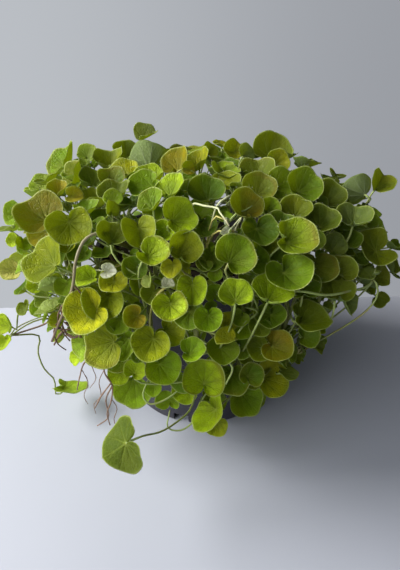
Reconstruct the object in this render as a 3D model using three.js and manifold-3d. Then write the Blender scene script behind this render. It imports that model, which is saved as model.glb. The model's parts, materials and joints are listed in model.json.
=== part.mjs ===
// A pot of kidneyweed: a mound of cupped kidney leaves on crowns that rise from the soil
// and on runners that hang over the rim. Millimetres, +Z up, origin under the pot's middle.
import * as THREE from "three";
import { mergeVertices } from "three/addons/utils/BufferGeometryUtils.js";
import Module from "manifold-3d";

const wasm = await Module();
wasm.setup();

// Pot
const potHeight = 97.5;
const potBaseRadius = 47;
const potTopRadius = 59.2;
const potWall = 1.5;
const baseThickness = 2;
const collarHeight = 12.5;
const collarStep = 1.3;
const rimRound = 0.6;
const potSides = 26;
const slotCount = 6;
const slotTurn = 15;
const slotSize = [10, 9, 6.4];

// Soil
const soilTop = 87.5;
const soilBump = 1.6;
const soilGap = 0.4;
const soilSides = 16;
const stemHole = 2.1;
const holeFloor = 68;
const rootEnd = 70;

// Mound: half its width and depth at its widest level, its middle line and its top
const moundWide = 112;
const moundDeep = 88;
const moundBack = 4;
const moundLevel = 80;
const moundTop = 144;
const skirtLevel = 38;
const skirtShare = 0.57;
const skirtLeast = 68;

// Stems and leaves
const crownRadius = 1.15;
const runnerRadius = 1.05;
const trailRadius = 0.8;
const woodyRadius = 0.9;
const rootedRadius = 0.75;
const rootRadius = 0.55;
const petioleRadius = 0.6;
const petioleStep = 36;
const bladeThickness = 0.72;
const clearance = 0.25;
const floorClearance = 0.6;
const leafReach = 0.57;
const leafMiddle = 0.15;
const kidneyPower = 0.6;
const cupDepth = 0.21;
const cupPower = 1.8;
const lobeHeight = 0.09;
const waveHeight = 0.035;
const sideLean = 13;
const upLean = 8;
const rimPlaces = [-150, -90, -30, 30, 90, 150];
const petioleBend = { behind: 0.7, neck: 0.25, ahead: 0.5, outward: 0.25, up: 0.45, first: 0.35, last: 0.3 };
const rimTurns = [
  { least: 21.5, turns: [42, 84, 120, 154] },
  { least: 12.5, turns: [52, 104, 150] },
  { least: 0, turns: [68, 145] },
];

// The photograph's view: where its camera stood, how far it looked down, the size of a
// millimetre at one millimetre away, how far away leaves are sized, and its middle, in pixels
const eye = new THREE.Vector3(-1, -218, 194);
const lookDown = THREE.MathUtils.degToRad(30);
const focalPixels = 411;
const sizedAt = 196;
const [middleX, middleY] = [200, 285];
const right = new THREE.Vector3(1, 0, 0);
const upward = new THREE.Vector3(0, Math.sin(lookDown), Math.cos(lookDown));
const facing = new THREE.Vector3(0, -Math.cos(lookDown), Math.sin(lookDown));

// How a blade is folded along its midrib, in degrees, and how deep it is cupped, how high its
// two lobes stand and how much it is waved
const forms = {
  cup: { fold: 13, cup: 1.3, lobes: 1.6, wave: 0.9 },
  shallow: { fold: 12, cup: 1, lobes: 1, wave: 0.9 },
  funnel: { fold: 18, cup: 2.1, lobes: 2, wave: 0.6 },
  folded: { fold: 36, cup: 0.6, lobes: 0.4, wave: 0.8 },
  wavy: { fold: 10, cup: 1, lobes: 2, wave: 2.2 },
  flat: { fold: 6, cup: 0.6, lobes: 0.8, wave: 1 },
  drooped: { fold: -20, cup: 0.2, lobes: 0, wave: 0.8 },
};

// The leaves that show from the front. x and y are the pixel of the blade's middle, wide is
// its width in millimetres if it is as far away as leaves are sized, up and side are how far
// the face leans from the viewer, in degrees, notch is where the notch points, in degrees
// clockwise from the top, and deep moves it back.
const leafFields = ["x", "y", "wide", "up", "side", "notch", "form", "deep"];
const seenLeaves = [
  // Top left
  [146, 131, 14, 45, -10, 225, "folded", 0],
  [60, 157, 21, 35, -28, 150, "cup", 0],
  [71, 174, 19, 20, -52, 200, "cup", -3],
  [108, 155, 16, 50, -10, 180, "funnel", -2],
  [128, 150, 16, 38, 10, 180, "cup", 4],
  [150, 158, 21, 145, 0, 185, "cup", -2],
  [175, 160, 18, 20, -25, 200, "cup", 0],
  [189, 168, 9, 0, 40, 270, "folded", 2],
  [197, 156, 14, 45, -10, 180, "funnel", 0],
  [143, 183, 19, 40, -10, 70, "cup", 0],
  [169, 185, 18, 46, -10, 200, "cup", -3],
  [206, 188, 20, 28, 10, 160, "cup", 0],
  [150, 199, 16, 48, -20, 180, "cup", 2],
  [37, 210, 25, 22, -10, 125, "wavy", -4],
  [11, 213, 13, 10, -35, 90, "cup", 2],
  [69, 226, 23, 5, 5, 350, "shallow", -6],
  [57, 186, 11, 35, 0, 180, "funnel", -2],
  [74, 195, 11, 20, 20, 270, "folded", -2],
  [43, 183, 15, 20, 0, 200, "flat", 8],
  [6, 228, 10, 75, 0, 90, "flat", 0],
  [12, 240, 8, 0, -10, 60, "cup", 0],
  [24, 243, 9, 20, 30, 0, "cup", 1],
  [38, 236, 15, 10, -20, 30, "cup", 2],
  [42, 258, 26, 15, -38, 120, "shallow", -5],
  // Upper left, among the stems
  [87, 205, 14, 45, 0, 200, "cup", 1],
  [97, 225, 11, 20, 0, 150, "flat", 2],
  [112, 232, 17, 48, 10, 180, "cup", 0],
  [139, 230, 21, 12, 10, 350, "folded", 0],
  [181, 215, 20, 10, 10, 250, "cup", -4],
  [162, 232, 15, 15, -15, 45, "cup", -1],
  [154, 251, 19, 30, 0, 285, "cup", -3],
  [186, 246, 18, 20, 10, 200, "funnel", 0],
  [171, 268, 12, 0, -35, 0, "cup", 0],
  [184, 268, 9, 0, 0, 90, "flat", 3],
  [85, 277, 14, 20, 0, 80, "folded", 0],
  [64, 287, 11, 10, 20, 20, "cup", 0],
  [34, 285, 9, 10, 0, 90, "cup", 0],
  [48, 284, 14, 60, 0, 90, "folded", 1],
  [9, 270, 12, 15, 0, 60, "wavy", 0],
  [108, 271, 10, 20, 0, 275, "folded", -2],
  [113, 282, 15, 40, 0, 0, "wavy", 0],
  [94, 176, 15, 40, 0, 190, "cup", 4],
  [114, 188, 18, 50, 0, 180, "cup", 2],
  [113, 197, 10, 20, 0, 180, "flat", 2],
  [112, 208, 10, 0, 72, 180, "flat", -2],
  [203, 225, 15, 10, 0, 0, "cup", 4],
  [67, 247, 9, 30, 0, 0, "cup", 0],
  [168, 284, 9, 40, 0, 270, "folded", 2],
  [147, 280, 9, 20, -30, 330, "folded", 2],
  // Top right
  [237, 253, 22, 10, 15, 225, "cup", -5],
  [256, 258, 19, 10, 25, 200, "cup", 2],
  [298, 236, 24, 33, 0, 278, "cup", -8],
  [281, 223, 17, 20, 0, 200, "cup", 2],
  [261, 230, 19, 25, 0, 350, "cup", 5],
  [267, 244, 12, 10, 0, 180, "cup", 3],
  [290, 271, 25, 30, 10, 335, "cup", -5],
  [276, 252, 15, 20, 0, 200, "cup", 2],
  [274, 288, 22, 42, 0, 205, "cup", -5],
  [247, 203, 20, 20, 10, 160, "cup", -3],
  [260, 185, 18, 15, -10, 200, "cup", 0],
  [283, 184, 19, 15, 15, 265, "wavy", -2],
  [257, 168, 19, 35, 0, 180, "cup", 3],
  [273, 147, 20, 20, 0, 190, "wavy", -1],
  [233, 149, 11, 15, 0, 90, "cup", 0],
  [221, 143, 9, 60, 0, 180, "flat", 2],
  [211, 149, 9, 20, 20, 200, "cup", 2],
  [226, 169, 16, 45, 0, 0, "cup", 2],
  [247, 152, 10, 0, 40, 220, "flat", 2],
  [306, 184, 19, 20, 10, 230, "cup", 0],
  [330, 193, 18, 25, 0, 200, "cup", 0],
  [356, 189, 17, 140, -10, 110, "cup", 0],
  [296, 206, 17, 35, 0, 180, "cup", 3],
  [324, 217, 18, 25, 0, 210, "cup", 1],
  [342, 206, 12, 40, 0, 90, "cup", 2],
  [355, 213, 18, 50, 0, 190, "cup", -3],
  [375, 223, 12, 30, 30, 270, "cup", 2],
  [376, 246, 22, 20, 5, 80, "wavy", -2],
  [394, 263, 13, 10, 50, 0, "cup", 0],
  [342, 268, 16, 20, 0, 180, "cup", 2],
  [320, 266, 20, 20, 0, 0, "cup", 4],
  [381, 275, 14, 10, 40, 180, "cup", 0],
  [337, 287, 19, 42, 0, 180, "cup", 0],
  [270, 207, 12, 10, 0, 200, "cup", 1],
  [367, 273, 13, 60, 0, 150, "flat", 3],
  [249, 277, 12, 30, 0, 160, "cup", 3],
  [304, 284, 17, 20, 0, 180, "cup", 5],
  // Front
  [102, 302, 22, 5, -10, 20, "cup", -4],
  [85, 312, 24, 18, -20, 60, "shallow", -1],
  [170, 306, 18, 20, 0, 355, "cup", -6],
  [192, 290, 19, 12, -5, 0, "folded", -3],
  [236, 292, 18, 22, 0, 182, "wavy", -4],
  [204, 264, 9, 10, 0, 30, "cup", 3],
  [215, 275, 8, 10, 0, 0, "flat", 3],
  [122, 312, 13, 0, -20, 0, "cup", 3],
  [189, 315, 17, 10, 0, 0, "cup", 2],
  [215, 293, 11, 0, 0, 180, "flat", 3],
  [47, 307, 16, 60, -10, 110, "flat", 0],
  [56, 320, 9, 10, 0, 40, "cup", 0],
  [204, 378, 22, 10, 0, 185, "cup", -3],
  [184, 391, 14, 0, 0, 60, "cup", 1],
  [208, 412, 22, 46, -40, 315, "cup", -11],
  [216, 426, 12, 0, 0, 20, "cup", 0],
  [164, 368, 19, 22, 0, 330, "cup", -2],
  [150, 344, 20, 12, 5, 20, "cup", -4],
  [171, 332, 17, 15, 0, 300, "cup", 5],
  [193, 349, 15, 38, 0, 255, "cup", -2],
  [208, 319, 15, 10, -10, 0, "cup", -2],
  [226, 337, 14, 55, 0, 70, "folded", -3],
  [228, 321, 12, 10, 30, 180, "cup", 0],
  [122, 345, 18, 0, -20, 0, "cup", 0],
  [134, 317, 13, 20, 0, 60, "cup", -1],
  [101, 346, 23, 0, -30, 75, "cup", -3],
  [81, 347, 17, 0, -52, 20, "cup", 0],
  [75, 358, 9, 0, -30, 45, "cup", 0],
  [132, 392, 21, -32, 0, 352, "cup", -2],
  [118, 374, 12, 0, 0, 60, "cup", 0],
  [135, 369, 12, 10, 0, 200, "cup", 1],
  [167, 401, 13, -10, 0, 170, "cup", 0],
  [223, 350, 17, 20, 0, 0, "cup", 3],
  [233, 380, 18, 0, 15, 0, "cup", 2],
  [252, 374, 14, 0, 20, 200, "cup", 0],
  [246, 401, 19, 5, 10, 0, "cup", 0],
  [274, 377, 20, 0, 10, 255, "cup", -2],
  [278, 346, 18, 22, 0, 300, "cup", 0],
  [259, 349, 14, 10, 0, 60, "cup", 3],
  [312, 316, 22, 58, 0, 270, "cup", 0],
  [309, 336, 13, 28, 10, 270, "wavy", 0],
  [351, 304, 14, 10, 40, 330, "folded", 0],
  [327, 305, 11, 60, 0, 0, "cup", 2],
  [270, 315, 17, 30, 0, 0, "cup", 4],
  [292, 353, 12, 0, 55, 0, "cup", 2],
  [288, 372, 12, 60, 20, 300, "flat", 1],
  [117, 323, 13, 0, 0, 30, "cup", 2],
  [153, 389, 9, 0, 0, 0, "cup", 2],
];

// Leaves on long petioles that stand clear of the mound, or trail beside it: the leaf's
// fields, with its depth from the pot's axis in place of deep, and its petiole's points
const looseLeaves = [
  { leaf: [124, 446, 30, 5, -42, 64, "drooped", -103], from: "",
    via: [[199, 390, -68], [190, 410, -76], [174, 424, -86], [160, 432, -93]] },
  { leaf: [383, 180, 16, 28, 22, 215, "folded", 5], from: "", via: [[350, 222, -4], [366, 204, 1]] },
  { leaf: [381, 300, 9, -10, 0, 300, "cup", -22], from: "",
    via: [[325, 293, -48], [350, 291, -34], [367, 290, -24]] },
  { leaf: [3, 324, 13, 0, -20, 170, "cup", -38], from: "left_runner", via: [[20, 311, -33]] },
  { leaf: [2, 342, 10, 10, 0, 0, "cup", -36], from: "left_runner", via: [] },
  { leaf: [71, 386, 19, 80, 0, 285, "flat", -32], from: "left_runner",
    via: [[39, 336, -28], [38, 352, -30], [45, 370, -32], [54, 379, -33]] },
];

// The rest of the mound, which the front leaves hide: rings of leaves on its back and sides,
// each ring with its level, the share of the circle that it takes and its number of leaves
const hiddenRings = [
  { level: 34, from: 15, to: 165, count: 4, wide: 19.5 },
  { level: 50, from: -2, to: 182, count: 8, wide: 19.5 },
  { level: 66, from: -6, to: 186, count: 11, wide: 19.5 },
  { level: 82, from: -4, to: 184, count: 12, wide: 19.5 },
  { level: 98, from: 0, to: 180, count: 11, wide: 19.5 },
  { level: 114, from: 5, to: 175, count: 10, wide: 19.5 },
  { level: 129, from: 12, to: 168, count: 6, wide: 18 },
];
const topRings = [
  { share: 0.12, from: 0, to: 360, count: 3, wide: 19.5 },
  { share: 0.36, from: -10, to: 350, count: 10, wide: 19.5 },
  { share: 0.6, from: -15, to: 195, count: 10, wide: 19.5 },
  { share: 0.6, from: 205, to: 335, count: 5, wide: 17 },
  { share: 0.8, from: -5, to: 185, count: 11, wide: 18 },
];
const hiddenSeed = 11;

// How far hidden leaves stray from even places in their rings: the share of a step along a
// ring, the height, the depth behind the mound, and the share of the way out on the top
const stray = { along: 0.7, height: 10, depth: 3, out: 0.08, topDepth: 5 };

// The right side is bare this far out, below this level, and the mound's top, above its level,
// is lower there by its drop
const bareSide = { out: 62, below: 70 };
const lowRight = { above: 105, out: 35, over: 20, drop: 11 };

// How a hidden leaf looks out of the mound: the levels over which its face turns up, how far it
// is turned and tipped at random, and how much its width differs
const hiddenLook = {
  low: 50, over: 90, flatten: 0.8, least: 0.35, turn: 50,
  tipTurn: 150, tipLow: -0.8, tipMore: 0.6, narrow: 0.8, widen: 0.4,
};

// Stems: rings of crowns in the pot, and runners over its rim
const crownRings = [
  { count: 1, radius: 5, turn: 40 },
  { count: 4, radius: 21, turn: 8 },
  { count: 7, radius: 39, turn: 14 },
];
const stemStraight = 84;
const crownLevels = [92, 104, 116];
const crownSpread = [1, 1.12, 1.5];
const crownSteps = 4;
const crownStarts = [0.5, 0.64, 0.78, 0.9];
const drapeTurns = [350, 12, 36, 60, 84, 108, 132, 156, 180, 221, 251, 268, 285, 302, 319, 335];
const drapeRoot = 50.5;
const drapeHump = [[0, 91], [5, 100.5], [13, 104.5]];
const drapeLevels = [95, 82, 69, 56, 45];
const drapeShare = 0.36;
const drapeSteps = 9;
const drapeStarts = [0.4, 0.5, 0.6, 0.7, 0.8, 0.9, 0.97];

// Routes of the loose runners, as pixels with a depth from the pot's axis
const leftTurn = 201;
const leftRoute = [[62, 300, -28], [48, 322, -26], [25, 331, -31], [1, 338, -36]];
const woodyTurn = 212;
const woodyCircle = 30;
const woodyRoute = [
  [107, 233, -62], [94, 234, -66], [84, 241, -69], [76, 260, -73],
  [73, 285, -76], [67, 305, -76], [59, 323, -72], [52, 341, -67],
];
const deadTwigs = [
  [[72.2, 288, -76], [79, 300, -72], [80, 316, -69], [74, 330, -67], [66, 322, -65]],
  [[69.4, 297, -76], [62, 312, -68], [64, 330, -64], [72, 338, -66], [81, 332, -69]],
  [[65.7, 308, -75.4], [76, 313, -68], [73, 326, -63], [61, 333, -62], [54, 345, -62]],
  [[61.7, 317, -73.4], [70, 318, -73], [78, 324, -72], [80, 338, -69]],
];
const rootedTurn = 236;
const rootedRoute = [[112, 300, -62], [104, 335, -64], [103, 365, -62]];
const bareRoots = [
  [[103, 362, -62], [105, 374, -63], [112, 385, -65], [111, 402, -67], [107, 413, -68], [110, 425, -69]],
  [[111, 383, -65], [102, 395, -66], [95, 408, -67]],
  [[112, 386, -65], [106, 400, -62], [108, 418, -62], [97, 426, -64]],
  [[103, 350, -63], [85, 362, -60], [80, 376, -58], [77, 390, -57]],
];

// Placing a leaf: what a start on a stem costs for each millimetre that it is too high for the
// blade, or where it is too near, how far the leaf may move from or to the viewer, how many
// starts are tried, and the volume that two solids share before they count as meeting
const tooHigh = 6;
const highCost = 0.6;
const tooNear = 9;
const nearCost = 20;
const lifts = [0, -1, 1, -2, 2, -3, 3, -4, 4, -5, 5, -6, 6, -8, 8];
const startTries = 45;
const meetingVolume = 1e-6;

// Colours
const potColour = 0x3f3c48;
const soilColour = 0x2b211a;
const crownColour = 0x6f8f2e;
const drapeColour = 0x7c9a3c;
const leftColour = 0x7a6a4a;
const woodyColour = 0x6b4a3a;
const rootColour = 0x7a5b48;

// The finest step between two corners, and the least height of a triangle, in millimetres
const grid = 1e-3;
const leastHeight = 1.2e-3;

const turnOf = THREE.MathUtils.degToRad;

// A repeatable random number from 0 to 1
function seeded(seed) {
  let state = seed;
  return () => {
    state = (state + 0x6d2b79f5) | 0;
    let t = Math.imul(state ^ (state >>> 15), 1 | state);
    t = (t + Math.imul(t ^ (t >>> 7), 61 | t)) ^ t;
    return ((t ^ (t >>> 14)) >>> 0) / 4294967296;
  };
}

function polar(radius, degrees, z) {
  const turn = turnOf(degrees);
  return new THREE.Vector3(radius * Math.cos(turn), radius * Math.sin(turn), z);
}

// A closed geometry as a solid
function solidOf(geometry) {
  const bare = new THREE.BufferGeometry();
  bare.setAttribute("position", geometry.getAttribute("position"));
  if (geometry.index) bare.setIndex(geometry.index);
  const merged = mergeVertices(bare, 1e-4);
  return new wasm.Manifold(
    new wasm.Mesh({
      numProp: 3,
      vertProperties: merged.attributes.position.array,
      triVerts: new Uint32Array(merged.index.array),
    }),
  );
}

// A solid's corners, each snapped to the grid and counted once, and its faces, without
// those that the snapping closes up
function snapped(solid) {
  const { vertProperties, triVerts } = solid.getMesh();
  const numbers = new Map();
  const corners = [];
  const numberAt = [];
  for (let i = 0; i < vertProperties.length; i += 3) {
    const steps = [0, 1, 2].map((k) => Math.round(vertProperties[i + k] / grid));
    const key = steps.join(" ");
    if (!numbers.has(key)) {
      numbers.set(key, numbers.size);
      corners.push(...steps.map((step) => step * grid));
    }
    numberAt.push(numbers.get(key));
  }
  const faces = [];
  for (let i = 0; i < triVerts.length; i += 3) {
    const face = [0, 1, 2].map((k) => numberAt[triVerts[i + k]]);
    if (new Set(face).size === 3) faces.push(face);
  }
  return { corners, faces };
}

// The height of a triangle over its longest side
function heightOf(triangle) {
  const longest = Math.max(...[0, 1, 2].map((k) => triangle[k].distanceTo(triangle[(k + 1) % 3])));
  return (2 * new THREE.Triangle(...triangle).getArea()) / longest;
}

// Whether a solid is one body without slivers, and each of its edges is between two faces
// after the snapping too
function isSound(solid) {
  if (solid.decompose().length !== 1) return false;
  const { corners, faces } = snapped(solid);
  const edges = new Set();
  for (const face of faces) {
    const triangle = face.map((corner) => new THREE.Vector3().fromArray(corners, 3 * corner));
    if (heightOf(triangle) < leastHeight) return false;
    const [a, b, c] = face;
    for (const edge of [[a, b], [b, c], [c, a]]) {
      if (edges.has(edge.join(" "))) return false;
      edges.add(edge.join(" "));
    }
  }
  return [...edges].every((edge) => edges.has(edge.split(" ").reverse().join(" ")));
}

// A solid as a geometry with flat faces
function geometryOf(solid) {
  const { corners, faces } = snapped(solid);
  const geometry = new THREE.BufferGeometry();
  geometry.setAttribute("position", new THREE.Float32BufferAttribute(corners, 3));
  geometry.setIndex(faces.flat());
  return geometry;
}

function ngon(radius, sides) {
  const shape = new THREE.Shape();
  for (let i = 0; i < sides; i++) {
    const turn = (2 * Math.PI * i) / sides;
    const [x, y] = [radius * Math.cos(turn), radius * Math.sin(turn)];
    if (i) shape.lineTo(x, y);
    else shape.moveTo(x, y);
  }
  return shape;
}

function tube(points, radius, sides, steps) {
  const path = new THREE.CatmullRomCurve3(points);
  const section = ngon(radius, sides);
  return solidOf(new THREE.ExtrudeGeometry(section, { steps, extrudePath: path }));
}

// The mound's half width and depth at a level, as shares of the widest
function moundShare(z) {
  if (z >= moundLevel) {
    const rise = Math.min((z - moundLevel) / (moundTop - moundLevel), 1);
    return Math.pow(1 - rise * rise, 0.25);
  }
  const drop = THREE.MathUtils.clamp((z - skirtLevel) / (moundLevel - skirtLevel), 0, 1);
  return skirtShare + (1 - skirtShare) * Math.sqrt(drop);
}

// Below 0 inside the mound, above 0 outside it
function moundSide(p) {
  const share = moundShare(p.z);
  const wide = p.z < moundLevel ? Math.max(moundWide * share, skirtLeast) : moundWide;
  const deep = p.z < moundLevel ? Math.max(moundDeep * share, skirtLeast) : moundDeep;
  const out = Math.hypot(p.x / wide, (p.y - moundBack * share) / deep);
  if (p.z < moundLevel) return out - 1;
  const rise = (p.z - moundLevel) / (moundTop - moundLevel);
  return Math.pow(out, 4) + rise * rise - 1;
}

// How far the mound reaches from the pot's axis in a direction at a level
function moundReach(degrees, z) {
  let reach = 0;
  while (moundSide(polar(reach, degrees, z)) < 0) reach += 0.5;
  return reach;
}

// The line of sight through a pixel
function sight(x, y) {
  return new THREE.Vector3()
    .addScaledVector(facing, -focalPixels)
    .addScaledVector(right, x - middleX)
    .addScaledVector(upward, middleY - y)
    .normalize();
}

// The point behind a pixel on the mound, or nearest to it
function onMound(x, y, deep) {
  const line = sight(x, y);
  let best = Infinity;
  let at = 0;
  for (let along = 80; along < 400; along += 0.5) {
    const side = moundSide(eye.clone().addScaledVector(line, along));
    if (side < best) {
      best = side;
      at = along;
    }
    if (side < 0) break;
  }
  return eye.clone().addScaledVector(line, at + deep);
}

// The point behind a pixel at a depth away from the pot's axis
function seenAt(x, y, depth) {
  const line = sight(x, y);
  return eye.clone().addScaledVector(line, (depth - eye.y) / line.y);
}

// A blade's frame: its middle, the way its face looks and the way its tip points
function bladeFrame(middle, face, tipHint) {
  const tip = tipHint.clone().addScaledVector(face, -tipHint.dot(face)).normalize();
  return { middle, face, tip, side: face.clone().cross(tip) };
}

// The frame of a leaf from the list, with a little more lean that differs from leaf to leaf
function seenFrame(leaf, middle) {
  const moreUp = upLean * Math.sin(2.3 * leaf.x + 1.7 * leaf.y);
  const moreSide = sideLean * Math.sin(3.7 * leaf.x + 5.1 * leaf.y);
  const angles = [leaf.up + moreUp, leaf.side + moreSide, leaf.notch];
  const [up, side, notch] = angles.map(turnOf);
  const face = new THREE.Vector3()
    .addScaledVector(facing, Math.cos(up) * Math.cos(side))
    .addScaledVector(upward, Math.sin(up) * Math.cos(side))
    .addScaledVector(right, Math.sin(side));
  const away = new THREE.Vector3()
    .addScaledVector(upward, -Math.cos(notch))
    .addScaledVector(right, -Math.sin(notch));
  return bladeFrame(middle, face, away);
}

// A leaf that looks out of the mound at a place on it, turned and tipped at random
function outerLeaf(middle, degrees, wide, random) {
  const look = hiddenLook;
  const rise = THREE.MathUtils.clamp((middle.z - look.low) / look.over, 0, 1);
  const faceTurn = degrees + look.turn * (random() - 0.5);
  const face = polar(1 - look.flatten * rise, faceTurn, look.least + rise).normalize();
  const tipTurn = degrees + look.tipTurn * (random() - 0.5);
  const tip = polar(1, tipTurn, look.tipLow + look.tipMore * random());
  const form = ["cup", "cup", "wavy", "funnel", "cup"][Math.floor(5 * random())];
  const width = wide * (look.narrow + look.widen * random());
  const leaf = { wide: width, form, frame: bladeFrame(middle, face, tip) };
  leaf.frame.middle = middle.clone().addScaledVector(face, -standOf(leaf));
  return leaf;
}

// A hidden leaf's place, lowered where the mound's top is lower
function lowered(middle) {
  const share = THREE.MathUtils.clamp((middle.x - lowRight.out) / lowRight.over, 0, 1);
  if (middle.z > lowRight.above) middle.z -= lowRight.drop * share;
  return middle;
}

function hiddenLeaves() {
  const random = seeded(hiddenSeed);
  const turnIn = (ring, i) => {
    const jitter = stray.along * (random() - 0.5);
    return ring.from + ((ring.to - ring.from) * (i + 0.5 + jitter)) / ring.count;
  };
  const leaves = [];
  for (const ring of hiddenRings) {
    for (let i = 0; i < ring.count; i++) {
      const turn = turnIn(ring, i);
      const z = ring.level + stray.height * (random() - 0.5);
      const middle = polar(moundReach(turn, z) - stray.depth * random(), turn, z);
      leaves.push(outerLeaf(lowered(middle), turn, ring.wide, random));
    }
  }
  for (const ring of topRings) {
    for (let i = 0; i < ring.count; i++) {
      const turn = turnIn(ring, i);
      const out = ring.share + stray.out * (random() - 0.5);
      const z = moundLevel + (moundTop - moundLevel) * Math.sqrt(1 - Math.pow(out, 4));
      const reach = moundReach(turn, moundLevel) * out;
      const middle = polar(reach, turn, z - stray.topDepth * random());
      leaves.push(outerLeaf(lowered(middle), turn, ring.wide, random));
    }
  }
  return leaves.filter(({ frame: { middle } }) => middle.x < bareSide.out || middle.z > bareSide.below);
}

// A point of the blade at a turn from its tip and a share of the way out from its hub
function bladePoint(leaf, degrees, share) {
  const form = forms[leaf.form];
  const turn = turnOf(degrees);
  const out = leafReach * Math.pow(Math.cos(turn / 2), kidneyPower) * share * leaf.wide;
  const fold = turnOf(form.fold);
  const across = out * Math.sin(turn);
  const cup = cupDepth * form.cup * leaf.wide * Math.pow(out / (leafReach * leaf.wide), cupPower);
  const lobe = lobeHeight * form.lobes * leaf.wide * share * share * Math.max(0, -Math.cos(turn));
  const wave = waveHeight * form.wave * leaf.wide * share * share;
  const ripple = Math.sin(3 * turn + leaf.wide * 7);
  const { middle, face, tip, side } = leaf.frame;
  return middle
    .clone()
    .addScaledVector(tip, out * Math.cos(turn) - leafMiddle * leaf.wide)
    .addScaledVector(side, across * Math.cos(fold))
    .addScaledVector(face, Math.abs(across) * Math.sin(fold) + cup + lobe + wave * ripple);
}

// How far a blade's rim stands out from its middle along its face
function standOf(leaf) {
  const { middle, face } = leaf.frame;
  const rim = rimPlaces.map((turn) => bladePoint(leaf, turn, 1).sub(middle).dot(face));
  return rim.reduce((sum, value) => sum + value) / rim.length;
}

// The petiole's line from a stem to the blade's hub, which it meets from below and behind
function petioleLine(leaf, start, via) {
  const hub = bladePoint(leaf, 0, 0);
  const { face, tip } = leaf.frame;
  const length = start.distanceTo(hub);
  const { behind, neck: neckShare, ahead, outward: out, up, first, last } = petioleBend;
  const arrive = face.clone().add(tip).multiplyScalar(-behind).normalize();
  const neck = hub.clone().addScaledVector(arrive, neckShare * leaf.wide);
  if (via.length) return new THREE.CatmullRomCurve3([start, ...via, neck, hub]);
  const outward = new THREE.Vector3(start.x, start.y, 0).normalize();
  const leave = hub.clone().sub(start).normalize().multiplyScalar(ahead);
  leave.addScaledVector(outward, out).add(new THREE.Vector3(0, 0, up)).normalize();
  return new THREE.CubicBezierCurve3(
    start,
    start.clone().addScaledVector(leave, first * length),
    hub.clone().addScaledVector(arrive, last * length),
    hub,
  );
}

// The petiole's triangular sections from the blade's hub back to the stem
function petioleSections(leaf, line, spare) {
  const { face, tip, side } = leaf.frame;
  const steps = Math.max(1, Math.min(Math.round(line.getLength() / petioleStep), 9));
  const corners = [[0, 1], [-0.87, -0.5], [0.87, -0.5]].map(([across, out]) =>
    side.clone().multiplyScalar(across).addScaledVector(face, out),
  );
  let heading = tip.clone().negate();
  const sections = [corners.map((corner) => corner.clone())];
  const middles = [line.getPointAt(1)];
  for (let i = 1; i <= steps; i++) {
    middles.push(line.getPointAt(1 - i / steps));
    const next = line.getTangentAt(1 - i / steps).negate();
    const bend = new THREE.Quaternion().setFromUnitVectors(heading, next);
    sections.push(sections[i - 1].map((corner) => corner.clone().applyQuaternion(bend)));
    heading = next;
  }
  const radius = petioleRadius + spare;
  return sections.map((section, i) =>
    section.map((corner) => middles[i].clone().addScaledVector(corner, radius)),
  );
}

// A leaf in one skin. The blade has the same fan of triangles above and below, from the hub
// to the kidney's rim, and the petiole, if it has a line, goes on from the hub's section.
function leafSolid(leaf, line, spare) {
  const turns = rimTurns.find((rim) => leaf.wide >= rim.least).turns;
  const rim = [...turns.map((t) => -t).reverse(), 0, ...turns];
  const half = bladeThickness / Math.cos(turnOf(forms[leaf.form].fold)) / 2 + spare;
  const points = [];
  for (const lift of [half, -half]) {
    for (const turn of rim) {
      const point = bladePoint(leaf, turn, 1 + spare / leaf.wide);
      points.push(point.addScaledVector(leaf.frame.face, lift));
    }
  }
  const hubLine = line || new THREE.LineCurve3(leaf.frame.middle, bladePoint(leaf, 0, 0));
  const sections = petioleSections(leaf, hubLine, spare);
  const n = rim.length;
  const [hub, left, right] = [2 * n, 2 * n + 1, 2 * n + 2];
  const faces = [];
  for (let i = 0; i < n - 1; i++) {
    const under = i < (n - 1) / 2 ? left : right;
    faces.push(hub, i, i + 1, under, n + i + 1, n + i);
    faces.push(n + i, n + i + 1, i + 1, n + i, i + 1, i);
  }
  const tip = n + (n - 1) / 2;
  faces.push(left, right, tip);
  faces.push(n - 1, 2 * n - 1, right, n - 1, right, hub);
  faces.push(0, hub, left, 0, left, n);
  const kept = line ? sections : sections.slice(0, 1);
  kept.forEach((section, i) => {
    const [a, b, c] = [0, 1, 2].map((k) => 2 * n + 3 * i + k);
    points.push(...section);
    if (i === kept.length - 1) faces.push(a, c, b);
    else {
      for (const [p, q] of [[a, b], [b, c], [c, a]]) {
        faces.push(p, q + 3, q, p, p + 3, q + 3);
      }
    }
  });
  const geometry = new THREE.BufferGeometry();
  const flat = points.flatMap((p) => p.toArray());
  geometry.setAttribute("position", new THREE.Float32BufferAttribute(flat, 3));
  geometry.setIndex(faces);
  return solidOf(geometry);
}

function pot() {
  const rise = (potTopRadius - potBaseRadius) / potHeight;
  const outer = (z) => potBaseRadius + rise * z;
  const inner = (z) => outer(z) - potWall;
  const collar = potHeight - collarHeight;
  const profile = [
    [0, 0],
    [potBaseRadius - 1, 0],
    [outer(1), 1],
    [outer(collar - collarStep), collar - collarStep],
    [outer(collar) + collarStep, collar],
    [outer(potHeight) + collarStep - rimRound / 2, potHeight - rimRound],
    [outer(potHeight) + collarStep - rimRound, potHeight],
    [inner(potHeight) + rimRound, potHeight],
    [inner(potHeight), potHeight - rimRound],
    [inner(baseThickness), baseThickness],
    [0, baseThickness],
  ];
  const corners = profile.map(([r, z]) => new THREE.Vector2(r, z));
  let body = solidOf(new THREE.LatheGeometry(corners, potSides).rotateX(Math.PI / 2));
  for (let i = 0; i < slotCount; i++) {
    const degrees = slotTurn + (360 * i) / slotCount;
    const slot = new THREE.BoxGeometry(...slotSize).rotateZ(turnOf(degrees));
    slot.translate(...polar(potBaseRadius, degrees, 0).toArray());
    body = body.subtract(solidOf(slot));
  }
  return body;
}

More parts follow.
